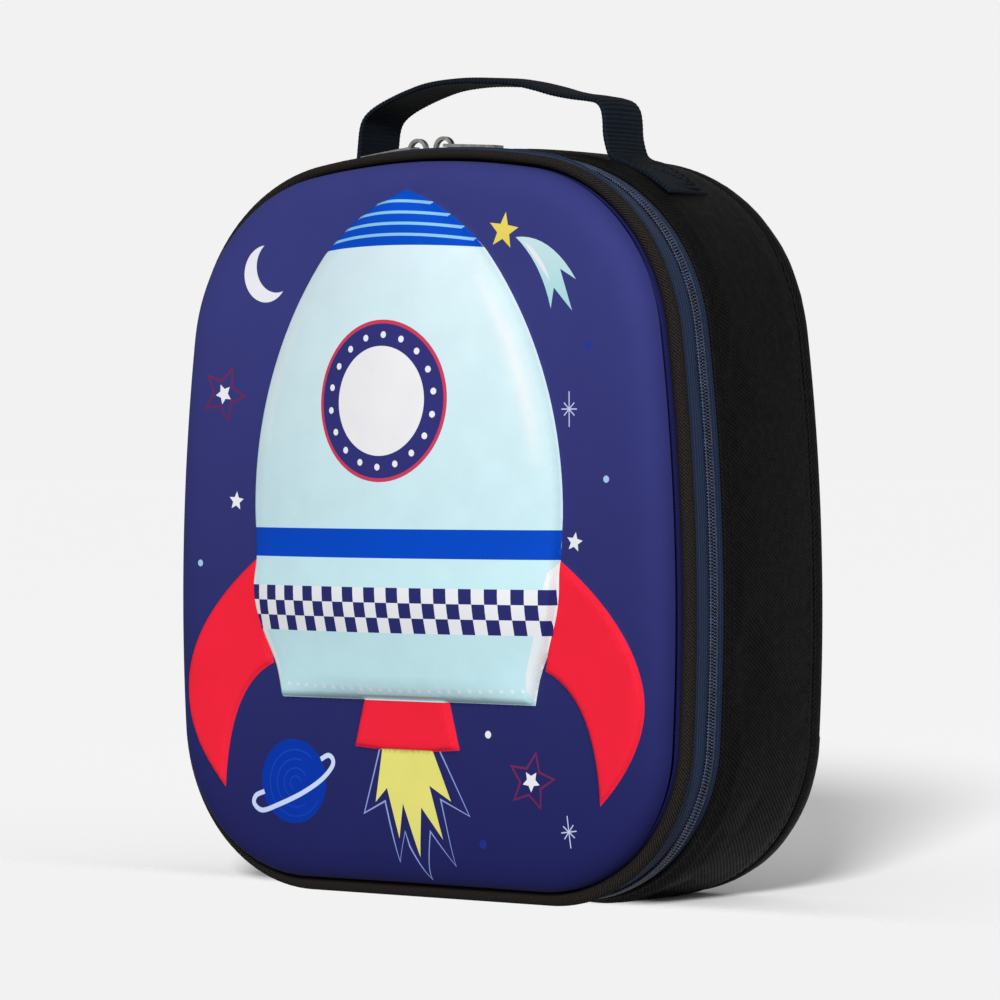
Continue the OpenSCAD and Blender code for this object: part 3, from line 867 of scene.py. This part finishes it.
# %% [markdown]
# ## Piping and its cord
#
# A strip of twill, cut on the bias so that it bends round the corners without creasing, is folded over
# a foam cord and caught in the seam. A tube with an inner wall is what that gives. The pull of the
# needle puckers it a little at every stitch, and those puckers are modelled, because a perfectly round
# tube reads as rubber.

# %% Piping
STITCH = 3.2                     # needle spacing along the seam


def round_section(o, y, radius, sides):
    return [(o + radius * math.cos(2 * math.pi * i / sides), y + radius * math.sin(2 * math.pi * i / sides))
            for i in range(sides)]


def puckers(run, index, sec):
    """The needle draws the sleeve in towards the seam every few millimetres."""
    centre = sec.mean(0)
    out = (sec - centre) / np.maximum(np.linalg.norm(sec - centre, axis=1, keepdims=True), 1e-6)
    pull = 0.09 * np.cos(2 * np.pi * run / STITCH) + 0.05 * np.sin(run / 7.3) * np.sin(run / 2.9)
    facing = np.clip(out[:, 1], -0.2, 1)[None, :]
    return out[None, :, 0] * pull * facing, out[None, :, 1] * pull * facing


def topness(run):
    """1 along the level top of the seam, 0 on the sides and the base."""
    return np.clip(at_run(run)[1][..., 1], 0, 1) ** 6


def flatter_on_top(run, index, sec):
    """Along the crown the zip's pull lays the piping down a little."""
    d_out, d_deep = puckers(run, index, sec)
    return d_out - topness(run) * (0.1 + 0.25 * (sec[None, :, 0] - PIPING_OUT)), d_deep


CORD_R = 1.6                     # the hole that the filler cord fills
sleeve = [round_section(PIPING_OUT, PIPING_Y, PIPING_R, 20),
          round_section(PIPING_OUT, PIPING_Y, CORD_R, 10)[::-1]]
piping = swept("piping_sleeve", sleeve, piping_twill, step=1.07, shift=flatter_on_top)
finish_piece(piping, "lid", "piping_twill", "front_piping")

# %% [markdown]
# ## Zip
#
# A coil zip is a wound nylon wire sewn to a woven tape. The wire shows as a row of small bars that run
# across the tape, and the two rows lock together in the middle. Each turn is modelled as one bar, with
# the stitch that holds it as a dot at its outer end, coloured lighter as a painted highlight on the
# turn's end. Nothing else gives that fine beading.

# %% Tapes
TAPE_IN, TAPE_OUT, ZIP_Y = 0.2, 1.0, 15.2
LID_TAPE, BODY_TAPE = (5.2, 14.5), (15.9, 26.0)


LIFT, LIFT_Y, LIFT_WIDE = 2.3, 8.0, 2.0


def crown_lift(run, y):
    """How far the lid's tape bows up along the crown, where it is folded back over the seam."""
    return LIFT * topness(run) * np.exp(-((y - LIFT_Y) / LIFT_WIDE) ** 2)


def tape_crown(low, high, crown, lifted=0):
    """Raises the outer face into a slight crown with fine cords along it."""
    middle, half = (low + high) / 2, (high - low) / 2

    def shift(run, index, sec):
        outer = (sec[:, 0] > 0.75).astype(float)[None, :]
        y = sec[None, :, 1]
        arch = crown * np.clip(1 - ((y - middle) / half) ** 2, 0, 1)
        cords = 0.06 * np.cos(2 * np.pi * (y - low) / TAPE_CORD)
        drift = 0.05 * np.sin(run / 9.0 + y * 0.6)
        return outer * (arch + cords + drift + lifted * crown_lift(run, y)), 0 * run
    return shift


lid_tape = swept("lid_tape", [densify(band(TAPE_IN, TAPE_OUT, *LID_TAPE), 0.33)], tape_knit, step=2.1,
                 shift=tape_crown(*LID_TAPE, 0.45, 1))
finish_piece(lid_tape, "lid", "zip_tape", "lid_zip_tape")
body_tape = swept("body_tape", [densify(band(TAPE_IN, TAPE_OUT, *BODY_TAPE), 0.33)], tape_knit, step=2.1,
                  shift=tape_crown(*BODY_TAPE, 0.2))
finish_piece(body_tape, "bag_body", "zip_tape", "body_zip_tape")


# %% Small bars: coil turns and stitches
def bars(name, centres, along, up, length, radius, material, height=1.0, dip=0.0, sides=6):
    """One closed capsule per centre. dip sinks its two ends, height flattens its section."""
    centres, along, up = (np.asarray(v, float) for v in (centres, along, up))
    side = np.cross(up, along)
    t = np.array((-1.0, -0.86, -0.45, 0.45, 0.86, 1.0))
    girth = np.array((0.25, 0.75, 1.0, 1.0, 0.75, 0.25)) * radius
    a = 2 * np.pi * np.arange(sides) / sides
    local = np.zeros((len(t), sides, 3))
    local[..., 0] = (t * length / 2)[:, None]
    local[..., 1] = girth[:, None] * np.cos(a)
    local[..., 2] = girth[:, None] * np.sin(a) * height - dip * (t ** 2)[:, None]
    local = local.reshape(-1, 3)
    points = (centres[:, None, :] + local[None, :, :1] * along[:, None, :]
              + local[None, :, 1:2] * side[:, None, :] + local[None, :, 2:] * up[:, None, :])
    one = []
    for r in range(len(t) - 1):
        for j in range(sides):
            low, j2 = r * sides, (j + 1) % sides
            one.append((low + j, low + j2, low + sides + j2, low + sides + j))
    one += [tuple(range(sides - 1, -1, -1)), tuple((len(t) - 1) * sides + j for j in range(sides))]
    size = len(local)
    faces = [tuple(size * i + v for v in f) for i in range(len(centres)) for f in one]
    return make_piece(name, points.reshape(-1, 3), faces, [material], recalc=False)


def on_seam(runs, offset, depth):
    """Places on the seam with the directions along it and out of it."""
    p, n = at_run(np.asarray(runs, float))
    flat = p + n * offset
    zero = np.zeros(len(flat))
    centres = np.stack((flat[:, 0], zero + depth, flat[:, 1]), -1)
    out = np.stack((n[:, 0], zero, n[:, 1]), -1)
    along = np.stack((-n[:, 1], zero, n[:, 0]), -1)
    return centres, along, out


def stitch_row(name, offset, depth, spacing, material, lifted=0):
    """A row of stitches along the seam."""
    count = round(SEAM_LENGTH / spacing)
    runs = SEAM_LENGTH * (np.arange(count) + 0.5) / count
    raised = offset + lifted * crown_lift(runs, depth)
    centres, along, out = on_seam(runs, raised[:, None], depth)
    return bars(name, centres, along, out, 2.2, 0.24, material, 0.75, 0.3)


COIL_END = 58.6                  # run at which the zip stops, either side of the hinge
COIL_PITCH = 1.1                 # a coil about 4 mm wide has a turn every 1.1 to 1.3 mm
turns = np.arange(COIL_END + 2.4, SEAM_LENGTH - COIL_END - 2.4, COIL_PITCH)
coil_sides = (("lid", "lid_coil", 14.08, 13.35, 0.0),
              ("bag_body", "body_coil", 16.32, 17.05, COIL_PITCH / 2))
for body, node, middle, edge, phase in coil_sides:
    centres, along, out = on_seam(turns + phase, 1.72, middle)
    back = np.tile((0.0, 1.0, 0.0), (len(centres), 1))
    coil = bars(node + "_turns", centres, back, out, 2.1, 0.46, coil_nylon, 1.35, 0.16)
    finish_piece(coil, body, "zip_coil", node)
    # The stitches' light slate colour is a painted highlight on the turns' ends
    centres, along, out = on_seam(turns + phase + COIL_PITCH / 2, 2.02, edge)
    dots = bars(node + "_stitching", centres, along, out, 0.75, 0.19, coil_thread_highlight, 0.9, 0.1)
    finish_piece(dots, body, "thread")
seam_rows = (("lid_tape_stitching", "lid", 1.22, 6.0), ("lid_tape_edge_stitching", "lid", 1.14, 12.4),
             ("body_tape_stitching", "bag_body", 1.16, 18.4))
for name, body, offset, depth in seam_rows:
    row = stitch_row(name, offset, depth, STITCH, thread_nylon, body == "lid")
    finish_piece(row, body, "thread")

# %% [markdown]
# ## Cloth over foam: gusset and back
#
# The body is coated polyester stretched over foam. Where it is sewn it is held, and between the seams
# it swells and puckers a little. So each skin starts as a sheet along its seams, its edges are pinned,
# and Blender's cloth fills it with a low pressure. A cap keeps every point near the pattern, as the foam
# does. Last, Solidify gives the sheet its thickness.

# %% Relax a skin
def bake(piece):
    """Makes what the modifiers show the piece's own mesh."""
    graph = bpy.context.evaluated_depsgraph_get()
    mesh = bpy.data.meshes.new_from_object(piece.evaluated_get(graph), depsgraph=graph)
    old = piece.data
    piece.modifiers.clear()
    piece.data = mesh
    bpy.data.meshes.remove(old)


def relax(piece, held, pressure, cap_mm, slack):
    """Cloth with its held points pinned. No point moves further than the cap."""
    start = np.array([v.co for v in piece.data.vertices])
    group = piece.vertex_groups.new(name="held")
    group.add([int(i) for i in held], 1.0, "REPLACE")
    cloth = piece.modifiers.new("cloth", "CLOTH")
    cloth.settings.quality = 5
    cloth.settings.mass = 0.15
    cloth.settings.tension_stiffness = cloth.settings.compression_stiffness = 12
    cloth.settings.shear_stiffness = 4
    cloth.settings.bending_stiffness = 0.3
    cloth.settings.shrink_min = -slack
    cloth.settings.use_pressure = True
    cloth.settings.uniform_pressure_force = pressure
    cloth.settings.effector_weights.gravity = 0
    cloth.settings.vertex_group_mass = "held"
    cloth.collision_settings.use_collision = False
    cloth.point_cache.frame_start, cloth.point_cache.frame_end = 1, 20
    scene = bpy.context.scene
    for frame_number in range(1, 21):
        scene.frame_set(frame_number)
    bake(piece)
    scene.frame_set(1)
    moved = np.array([v.co for v in piece.data.vertices]) - start
    far = np.linalg.norm(moved, axis=1, keepdims=True)
    cap = cap_mm * MM
    soft = cap * np.tanh(far / cap) / np.maximum(far, 1e-12)
    piece.data.vertices.foreach_set("co", (start + moved * soft).astype(np.float32).ravel())
    piece.data.update()
    print(piece.name, "relaxed by up to", round(float((far * soft).max()) * 1000, 2), "mm")


def thicken(piece, thickness_mm, offset=-1.0):
    wall = piece.modifiers.new("thickness", "SOLIDIFY")
    wall.thickness = thickness_mm * MM
    wall.offset = offset
    wall.use_even_offset = True
    bake(piece)


def pucker_rows(depths, strength):
    """Small gathers beside the rows of stitches, which fade away from them."""
    def shift(run, index, sec):
        near_seam = sum(np.exp(-np.abs(sec[None, :, 1] - y) / 2.2) for y in depths)
        gather = np.cos(2 * np.pi * run / (2 * STITCH)) + 0.8 * np.sin(run / 5.7) + 0.6 * np.sin(run / 13.1)
        return -strength * near_seam * (0.5 + 0.3 * gather), 0 * run * near_seam
    return shift


# %% Gusset
GUSSET_FRONT, GUSSET_BACK = 21.3, 72.4
FABRIC = 1.1
gusset_rows = [(1.55, GUSSET_FRONT), (2.1, 21.5), (2.6, 22.2), (2.85, 23.6), (2.7, 25.0), (2.95, 26.6)]
gusset_rows += [(3.35, y) for y in np.linspace(29, 69.5, 15)] + [(3.2, 71.2), (2.7, GUSSET_BACK)]
gusset = swept("gusset_skin", [gusset_rows], body_weave, step=3.0, shift=pucker_rows((25, 72.4), 0.22),
               closed=False)
width = len(gusset_rows)
rows_held = [i for i in range(len(gusset.data.vertices)) if i % width < 6 or i % width > width - 4]
relax(gusset, rows_held, 2.2, 1.3, 0.012)
thicken(gusset, FABRIC)
finish_piece(gusset, "bag_body", "body_fabric", "gusset")


# %% Back panel
def dish(name, rows, spacing, material, step=2.6):
    """Rows of the seam stepped inwards, closed by an even cap, as one open sheet."""
    p, n = seam(step)[:2]
    m = len(p)
    girth = np.concatenate(([0], np.cumsum([math.hypot(b[0] - a[0], b[1] - a[1])
                                           for a, b in zip(rows, rows[1:])])))
    points, cut = [], []
    for (o, y), g in zip(rows, girth):
        q = p + n * o
        points.append(np.stack((q[:, 0], np.full(m, y), q[:, 1]), -1))
        cut.append(p + n * (rows[-1][0] + girth[-1] - g))
    cap, tiles = loop_cap(points[-1][:, [0, 2]], spacing)
    points.append(np.stack((cap[:, 0], np.full(len(cap), rows[-1][1]), cap[:, 1]), -1))
    cut.append(cap)
    cut = np.vstack(cut)
    faces = []
    for r in range(len(rows) - 1):
        for i in range(m):
            i2 = (i + 1) % m
            faces.append((r * m + i, (r + 1) * m + i, (r + 1) * m + i2, r * m + i2))
    faces += [tuple(len(rows) * m + v for v in f) for f in tiles]
    uv = [cut[v] for f in faces for v in f]
    return make_piece(name, np.vstack(points), faces, [material], uv, recalc=True)


def face_outwards(piece, direction):
    """Turns an open sheet so that its largest part faces a direction."""
    total = Vector()
    for polygon in piece.data.polygons:
        total += polygon.normal * polygon.area
    if total.dot(Vector(direction)) < 0:
        piece.data.flip_normals()


BACK_Y = 83.5
back_rows = [(2.7, 72.75), (3.15, 73.6), (3.3, 75.2), (3.0, 77.2), (2.2, 79.0), (0.8, 80.7), (-1.2, 82.0),
             (-4, 82.9), (-8, 83.3), (-13, BACK_Y)]
back = dish("back_skin", back_rows, 4.5, body_weave)
face_outwards(back, (0, 1, 0))
edge_y = (SEAM_Y + 77.6) * MM
rim_held = [v.index for v in back.data.vertices if v.co.y < edge_y]
relax(back, rim_held, 1.6, 1.6, 0.006)
thicken(back, FABRIC)
finish_piece(back, "bag_body", "body_fabric", "back_panel")

seam_stitches = (("gusset_front_topstitch", 2.95, 24.95), ("gusset_back_topstitch", 3.42, 69.6),
                 ("back_topstitch", 3.05, 76.4))
for name, offset, depth in seam_stitches:
    finish_piece(stitch_row(name, offset, depth, STITCH, thread_nylon), "bag_body", "thread")

# %% [markdown]
# ## Lining and bindings
#
# Inside, a silver film wipes clean. It is welded or sewn in as three pieces: the tray in the lid, the
# wall and the back. The film is thin and never lies flat, so its shallow creases are in the mesh. Each
# raw edge in the seams is wrapped in a ribbed tape.

# %% Lining
def ripple(points, size, depth):
    """Shallow creases from a few crossed waves."""
    x, y, z = points[..., 0] / size, points[..., 1] / size, points[..., 2] / size
    wave = np.sin(x + 1.7 * np.sin(0.6 * z)) + np.sin(1.3 * z - 0.7 * x + np.sin(1.1 * x + y))
    return depth * (0.5 * wave + 0.3 * np.sin(2.3 * x + 1.9 * z + 0.8 * y))


def crease(piece, size, depth_mm):
    """Moves an open sheet's points along its normals by the creases."""
    mesh = piece.data
    co = np.array([v.co for v in mesh.vertices])
    normal = np.array([v.normal for v in mesh.vertices])
    move = ripple(co * 1000, size, depth_mm) * MM
    mesh.vertices.foreach_set("co", (co + normal * move[:, None]).astype(np.float32).ravel())
    mesh.update()


FILM = 0.8
tray_rows = [(-3.6, 8.6), (-5.5, 8.6), (-7.6, 8.5), (-8.5, 7.9), (-8.6, 5.5), (-8.6, 2), (-8.7, -1.0),
             (-9.2, -2.1), (-10.4, -2.55), (-14, -2.6)]
lid_tray = dish("lid_lining", tray_rows, 5, liner_peva)
crease(lid_tray, 9, 0.22)
thicken(lid_tray, FILM, 0)
finish_piece(lid_tray, "lid", "liner", "lid_liner")

wall_rows = [(-4.5, y) for y in np.linspace(20.2, 75.7, 14)]
wall = swept("wall_lining", [wall_rows], liner_peva, step=4.0, closed=False)
crease(wall, 11, 0.3)
thicken(wall, FILM, 0)
finish_piece(wall, "bag_body", "liner", "gusset_liner")

back_film = dish("back_lining", [(-4.6, 76.4), (-8, 76.4)], 5, liner_peva)
crease(back_film, 12, 0.25)
thicken(back_film, FILM, 0)
finish_piece(back_film, "bag_body", "liner", "back_liner")

# %% Bindings
def soft_edge(run, index, sec):
    """A tape sewn by hand guide wanders a little."""
    sideways = 0.07 * np.sin(run / 8.1 + index) * np.ones(len(sec))[None, :]
    return sideways, 0.06 * np.sin(run / 6.3) + 0 * index


binding_places = (("lid_seam_binding", "lid", "lid_binding", (-3.4, 0.05, 5.3, 8.1)),
                  ("front_seam_binding", "bag_body", "body_binding", (-3.9, 0.05, 26.3, 30.8)),
                  ("back_seam_binding", "bag_body", "back_binding", (-6.4, -5.05, 68.6, 73.4)))
for name, body, node, corners in binding_places:
    binding = swept(name, [densify(band(*corners, 0.6), 1.2)], binding_tape, step=3.0, shift=soft_edge)
    finish_piece(binding, body, "binding", node)

# %% [markdown]
# ## Fabric hinge
#
# Along the straight base the zip stops, and fabric joins lid and body. It is sewn to both, so it bends
# about the line between them when the lid falls open; here its two strips are built flat and ride on
# neither body. Outside lies a strip of the body's polyester, inside a ribbed tape.

# %% Hinge
HINGE_LINE = ZIP_Y


def hinge_leaf(name, half, depths, low, high, material):
    """A flat strip across the hinge line with rows close together where it bends."""
    bending = np.linspace(12.4, 18.0, 15)
    y = np.unique(np.concatenate((np.arange(depths[0], depths[1], 1.2), bending, [depths[1]])))
    x = np.linspace(-half, half, 40)
    sheets = []
    for z in (low, high):
        gx, gy = np.meshgrid(x, y)
        sag = 0.12 * np.sin(gx / 6.5) * np.exp(-((gy - HINGE_LINE) / 6) ** 2)
        sheets.append(np.stack((gx, gy, np.full_like(gx, z) + sag), -1).reshape(-1, 3))
    w, h = len(x), len(y)
    faces, uv = [], []
    for top in (0, 1):
        for r in range(h - 1):
            for c in range(w - 1):
                f = [(r, c), (r, c + 1), (r + 1, c + 1), (r + 1, c)]
                f = f if top else f[::-1]
                faces.append(tuple(top * w * h + r_ * w + c_ for r_, c_ in f))
                uv += [(x[c_], y[r_]) for r_, c_ in f]
    ring = [(0, c) for c in range(w)] + [(r, w - 1) for r in range(1, h)]
    ring += [(h - 1, c) for c in range(w - 2, -1, -1)] + [(r, 0) for r in range(h - 2, 0, -1)]
    for a, b in zip(ring, ring[1:] + ring[:1]):
        i, j = a[0] * w + a[1], b[0] * w + b[1]
        faces.append((i, j, w * h + j, w * h + i))
        uv += [(x[a[1]], y[a[0]])] * 4
    return make_piece(name, np.vstack(sheets), faces, [material], uv, recalc=True)


hinge_inner = hinge_leaf("hinge_strip_inner", 52, (9.4, 25.9), 0.05, 0.75, binding_tape)
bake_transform(hinge_inner)
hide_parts("hinge_strip")
hinge_outer = hinge_leaf("hinge_strip_outer", 57.5, (5.3, 24.5), -2.15, -1.25, body_weave)
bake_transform(hinge_outer)
print("hinge", len(hinge_inner.data.polygons) + len(hinge_outer.data.polygons), "faces")

# %% [markdown]
# ## Handle
#
# One length of webbing is doubled and sewn. Its ends lie along the shoulders under box stitching, turn
# up sharply at the inner row of stitches, and the middle springs over as an arch. Webbing has a rib at
# every pick, so the strip is swept with its thickness rising and falling, and the ribs are real.

# %% Strap
FEET_Y, WEB_W, WEB_T = 31.0, 22.0, 2.2
WEB_MID = FEET_Y + WEB_W / 2
FOOT_OUT = BULGE + 0.1 + WEB_T / 2


def shoulder_point(x, out):
    """A point over the shoulder, out millimetres outside the seam."""
    r = SHOULDER_R + out
    return np.array((x, shoulder_c[1] + math.sqrt(r * r - (x - shoulder_c[0]) ** 2)))


foot = [shoulder_point(x, FOOT_OUT) for x in np.linspace(80.5, 60.5, 9)]
turn_z = foot[-1][1]
right_leg = [(57.4, turn_z + 1.0), (55.2, turn_z + 2.6), (54.0, turn_z + 5.2), (52.9, turn_z + 9.5),
             (52.5, turn_z + 15.0), (51.6, turn_z + 18.6), (49.2, turn_z + 21.0), (45.0, turn_z + 22.0),
             (38.0, turn_z + 23.0), (30.0, turn_z + 24.6), (22.0, turn_z + 26.8), (12.0, turn_z + 29.0),
             (2.0, turn_z + 29.9)]
left_leg = [(58.0, turn_z + 1.0), (56.3, turn_z + 2.6), (55.4, turn_z + 5.2), (54.8, turn_z + 10.0),
            (54.0, turn_z + 15.5), (52.4, turn_z + 19.0), (48.8, turn_z + 21.8), (43.0, turn_z + 24.4),
            (34.0, turn_z + 27.4), (24.0, turn_z + 29.7), (11.0, turn_z + 30.5)]
left_side = [(-q[0], q[1]) for q in foot] + [(-x, z) for x, z in left_leg]
strap_line = [tuple(q) for q in foot] + right_leg + left_side[::-1]
strap_line = smooth_line(strap_line, 24)
strap_run = np.concatenate(([0], np.cumsum(np.hypot(*np.diff(strap_line, axis=0).T))))
strap_length = strap_run[-1]
sample = np.arange(0, strap_length, WEB_RIB / 4)
centre_line = np.stack([np.interp(sample, strap_run, strap_line[:, i]) for i in (0, 1)], -1)
tangent = np.gradient(centre_line, axis=0)
tangent /= np.linalg.norm(tangent, axis=1, keepdims=True)
face_normal = np.stack((tangent[:, 1], -tangent[:, 0]), -1)
outline_y, outline_t = [], []
for a in np.linspace(0, 2 * np.pi, 36, endpoint=False):
    c, s = math.cos(a), math.sin(a)
    outline_y.append(math.copysign(abs(c) ** 0.32, c))
    outline_t.append(math.copysign(abs(s) ** 0.45, s))
outline_y, outline_t = np.array(outline_y), np.array(outline_t)
from_end = np.minimum(sample, strap_length - sample)
flare = 1 + 0.2 * np.clip(1 - from_end / 27, 0, 1)
half_width = WEB_W / 2 * flare
rib = 0.10 * np.cos(2 * np.pi * sample / WEB_RIB)
selvedge = 0.16 * np.exp(-((np.abs(outline_y) - 0.93) / 0.05) ** 2)
thick = (WEB_T / 2 - 0.1 + rib)[:, None] + selvedge[None, :]
cup = 0.7 * np.clip((from_end - 26) / 14, 0, 1)          # the free part curls slightly across its width
across = outline_y[None, :] * half_width[:, None]
rise_by = outline_t[None, :] * thick - (cup[:, None] * (1 - outline_y[None, :] ** 2))
sag_y = 0.35 * np.sin(sample / 31.0)
x = centre_line[:, 0:1] - face_normal[:, 0:1] * rise_by
z = centre_line[:, 1:2] - face_normal[:, 1:2] * rise_by
y = WEB_MID + across + sag_y[:, None]
skew = 0.12 * np.clip(1 - from_end / 20, 0, 1)           # the ends are cut a little off square
x = x - np.sign(centre_line[:, 0:1]) * skew[:, None] * across
strap_points = np.stack((x, y, z), -1).reshape(-1, 3)
k, m = len(sample), len(outline_y)
faces, uv = [], []
edge_run = np.concatenate(([0], np.cumsum(np.hypot(np.diff(outline_y * WEB_W / 2), np.diff(outline_t)))))
edge_run = np.append(edge_run, edge_run[-1] + 1)
for i in range(k - 1):
    for j in range(m):
        j2 = (j + 1) % m
        faces.append((i * m + j, i * m + j2, (i + 1) * m + j2, (i + 1) * m + j))
        uv += [(sample[i], edge_run[j]), (sample[i], edge_run[j + 1]), (sample[i + 1], edge_run[j + 1]),
               (sample[i + 1], edge_run[j])]
faces += [tuple(range(m)), tuple(range(k * m - 1, (k - 1) * m - 1, -1))]
uv += [(0.0, 0.0)] * (2 * m)
strap = make_piece("webbing_handle", strap_points, faces, [webbing_pp], uv, recalc=True)
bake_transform(strap)
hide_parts("handle_arch", "handle_feet")
print(f"webbing {strap_length:.0f} mm long, {len(faces)} faces")


# %% Box stitching on the feet
def on_foot(x, y, out):
    """Places on a foot's outer face and the directions there, for x on either side."""
    q = np.array([shoulder_point(abs(v), out) for v in x])
    n = (q - shoulder_c) / np.linalg.norm(q - shoulder_c, axis=1, keepdims=True)
    side = np.sign(x)
    zero = np.zeros(len(x))
    centres = np.stack((q[:, 0] * side, y, q[:, 1]), -1)
    out_3 = np.stack((n[:, 0] * side, zero, n[:, 1]), -1)
    along_x = np.stack((n[:, 1] * side, zero, -n[:, 0]), -1)
    return centres, out_3, along_x


box_x, box_y = (64.0, 77.5), (FEET_Y + 2.2, FEET_Y + WEB_W - 2.2)
corner_box = [(box_x[0], box_y[0]), (box_x[1], box_y[0]), (box_x[1], box_y[1]), (box_x[0], box_y[1])]
lines = list(zip(corner_box, corner_box[1:] + corner_box[:1])) + [(corner_box[0], corner_box[2]),
                                                                   (corner_box[1], corner_box[3])]
spots, ways = [], []
for a, b in lines:
    a, b = np.array(a), np.array(b)
    count = max(2, round(float(np.linalg.norm(b - a)) / 2.3))
    for i in range(count):
        spots.append(a + (b - a) * (i + 0.5) / count)
        ways.append((b - a) / np.linalg.norm(b - a))


def foot_stitches(name, spots, ways, lift, length, radius, dip, *nodes):
    """The same stitches on both feet. A way is a direction on the foot, across the bag and backwards."""
    feet = []
    for side in (-1, 1):
        centres, out_3, along_x = on_foot(spots[:, 0] * side, spots[:, 1], FOOT_OUT + WEB_T / 2 + lift)
        along = along_x * ways[:, 0:1] + np.array((0.0, 1.0, 0.0)) * ways[:, 1:2]
        feet.append((centres, along, out_3))
    centres, along, out_3 = (np.vstack(pair) for pair in zip(*feet))
    stitches = bars(name, centres, along, out_3, length, radius, thread_nylon, 0.9, dip)
    finish_piece(stitches, "bag_body", "thread", *nodes)


foot_stitches("handle_box_stitching", np.array(spots), np.array(ways), -0.02, 1.8, 0.26, 0.2)
tack_y = np.arange(FEET_Y + 2.4, FEET_Y + WEB_W - 2.2, 0.75)
tack_spots = np.array([(x, y) for x in (62.6, 79.0) for y in tack_y])
tack_ways = np.tile((1.0, 0.0), (len(tack_spots), 1))
foot_stitches("handle_tack_bars", tack_spots, tack_ways, 0.02, 2.2, 0.3, 0.15, "handle_bar_tacks")

# %% [markdown]
# ## Metal and hidden parts
#
# The sliders, crowns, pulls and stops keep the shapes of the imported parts, since those fit the zip. A
# small bevel breaks every edge, as tumbling does, and gives the metal its highlights. The foam, the cord
# and the patches lie inside and need only their finish.

# %% Finish the carried-over parts
keep = {"piping_filler": foam_white, "gusset_foam": foam_white, "back_foam": foam_white,
        "lid_zip_stops": stop_metal, "body_zip_stops": stop_metal, "handle_patches": patch_felt,
        "slider_left": nickel, "slider_right": nickel, "crown_left": nickel, "crown_right": nickel,
        "pull_left": nickel, "pull_right": nickel}
bevels = {"slider": 0.35, "crown": 0.3, "pull": 0.28, "lid": 0.25, "body": 0.25}
for node, material in keep.items():
    part = bpy.data.objects[node]
    for slot in part.material_slots:
        slot.material = material
    size = bevels.get(node.split("_")[0])
    if size and material in (nickel, stop_metal):
        bevel = part.modifiers.new("tumbled_edge", "BEVEL")
        bevel.width = size * MM
        bevel.segments = 3
        bevel.limit_method = "ANGLE"
        bevel.angle_limit = math.radians(35)
    print(node, material.name)

# %% [markdown]
# ## Camera, light and floor
#
# The view is a long lens at the height of the bag's middle. The light is a wide low key from behind the
# camera with an even sky, which gives one long soft shadow and no hard highlights. The sky that the
# camera sees is as bright as the floor, so the two meet without a line.

# %% Camera
scene = bpy.context.scene
scene.view_settings.view_transform = "Standard"
VIEW_AZ = math.radians(38)
LENS, DISTANCE = 178.2, 1672
AIM = np.array((32.5, 0.0, 133.0))
camera_data = bpy.data.cameras.new("camera")
camera_data.lens = LENS
camera_data.sensor_width = 36
camera_data.clip_end = 40
camera = bpy.data.objects.new("camera", camera_data)
scene.collection.objects.link(camera)
eye = AIM + (DISTANCE * math.sin(VIEW_AZ), -DISTANCE * math.cos(VIEW_AZ), 13.5)
camera.location = metres(eye)
camera.rotation_euler = (Vector(metres(AIM)) - Vector(metres(eye))).to_track_quat("-Z", "Y").to_euler()
scene.camera = camera

# %% Light and floor
SKY_LIGHT, SKY_SEEN = 0.47, 0.888
world = bpy.data.worlds.new("studio")
world.use_nodes = True
tree = world.node_tree
tree.nodes["Background"].inputs["Color"].default_value = (1, 1, 1, 1)
seen = add(tree, "ShaderNodeLightPath").outputs["Is Camera Ray"]
power = add(tree, "ShaderNodeMapRange", {}, {"Value": seen, "To Min": SKY_LIGHT, "To Max": SKY_SEEN})
tree.links.new(power.outputs[0], tree.nodes["Background"].inputs["Strength"])
scene.world = world


def aim(lamp, place, target=(0.0, 0.0, 0.12)):
    lamp.location = place
    lamp.rotation_euler = (Vector(target) - Vector(place)).to_track_quat("-Z", "Y").to_euler()


KEY_AZ, KEY_HIGH = math.radians(28), math.radians(22)
key_data = bpy.data.lights.new("key", "SUN")
key_data.energy = 3.95
key_data.angle = math.radians(11)
key = bpy.data.objects.new("key", key_data)
scene.collection.objects.link(key)
aim(key, (math.sin(KEY_AZ) * math.cos(KEY_HIGH), -math.cos(KEY_AZ) * math.cos(KEY_HIGH),
          0.12 + math.sin(KEY_HIGH)))
rim_data = bpy.data.lights.new("rim", "AREA")
rim_data.size = 0.9
rim_data.energy = 2
rim = bpy.data.objects.new("rim", rim_data)
scene.collection.objects.link(rim)
aim(rim, (1.5, -0.5, 0.9))

floor_mesh = bpy.data.meshes.new("floor")
REACH = 30.0
# The table ends under the hinge, and fades out there, so that the opened lid hangs in front of it
FADE = 0.03
edge = metres([(0, HINGE_LINE, 0)])[0][1]
floor_mesh.from_pydata([(-REACH, edge, 0), (REACH, edge, 0), (REACH, REACH, 0), (-REACH, REACH, 0)],
                       [], [(0, 1, 2, 3)])
floor = bpy.data.objects.new("floor", floor_mesh)
scene.collection.objects.link(floor)
paper, tree, shader = new_material("matt_paper", "#F9F9F9", 0.95, specular=0.0)
place = add(tree, "ShaderNodeTexCoord").outputs["Object"]
parts = add(tree, "ShaderNodeSeparateXYZ", {}, {"Vector": place})
fade = add(tree, "ShaderNodeMapRange", {"interpolation_type": "SMOOTHSTEP"},
           {"Value": parts.outputs["Y"], "From Min": edge, "From Max": edge + FADE})
tree.links.new(fade.outputs[0], shader.inputs["Alpha"])
floor_mesh.materials.append(paper)
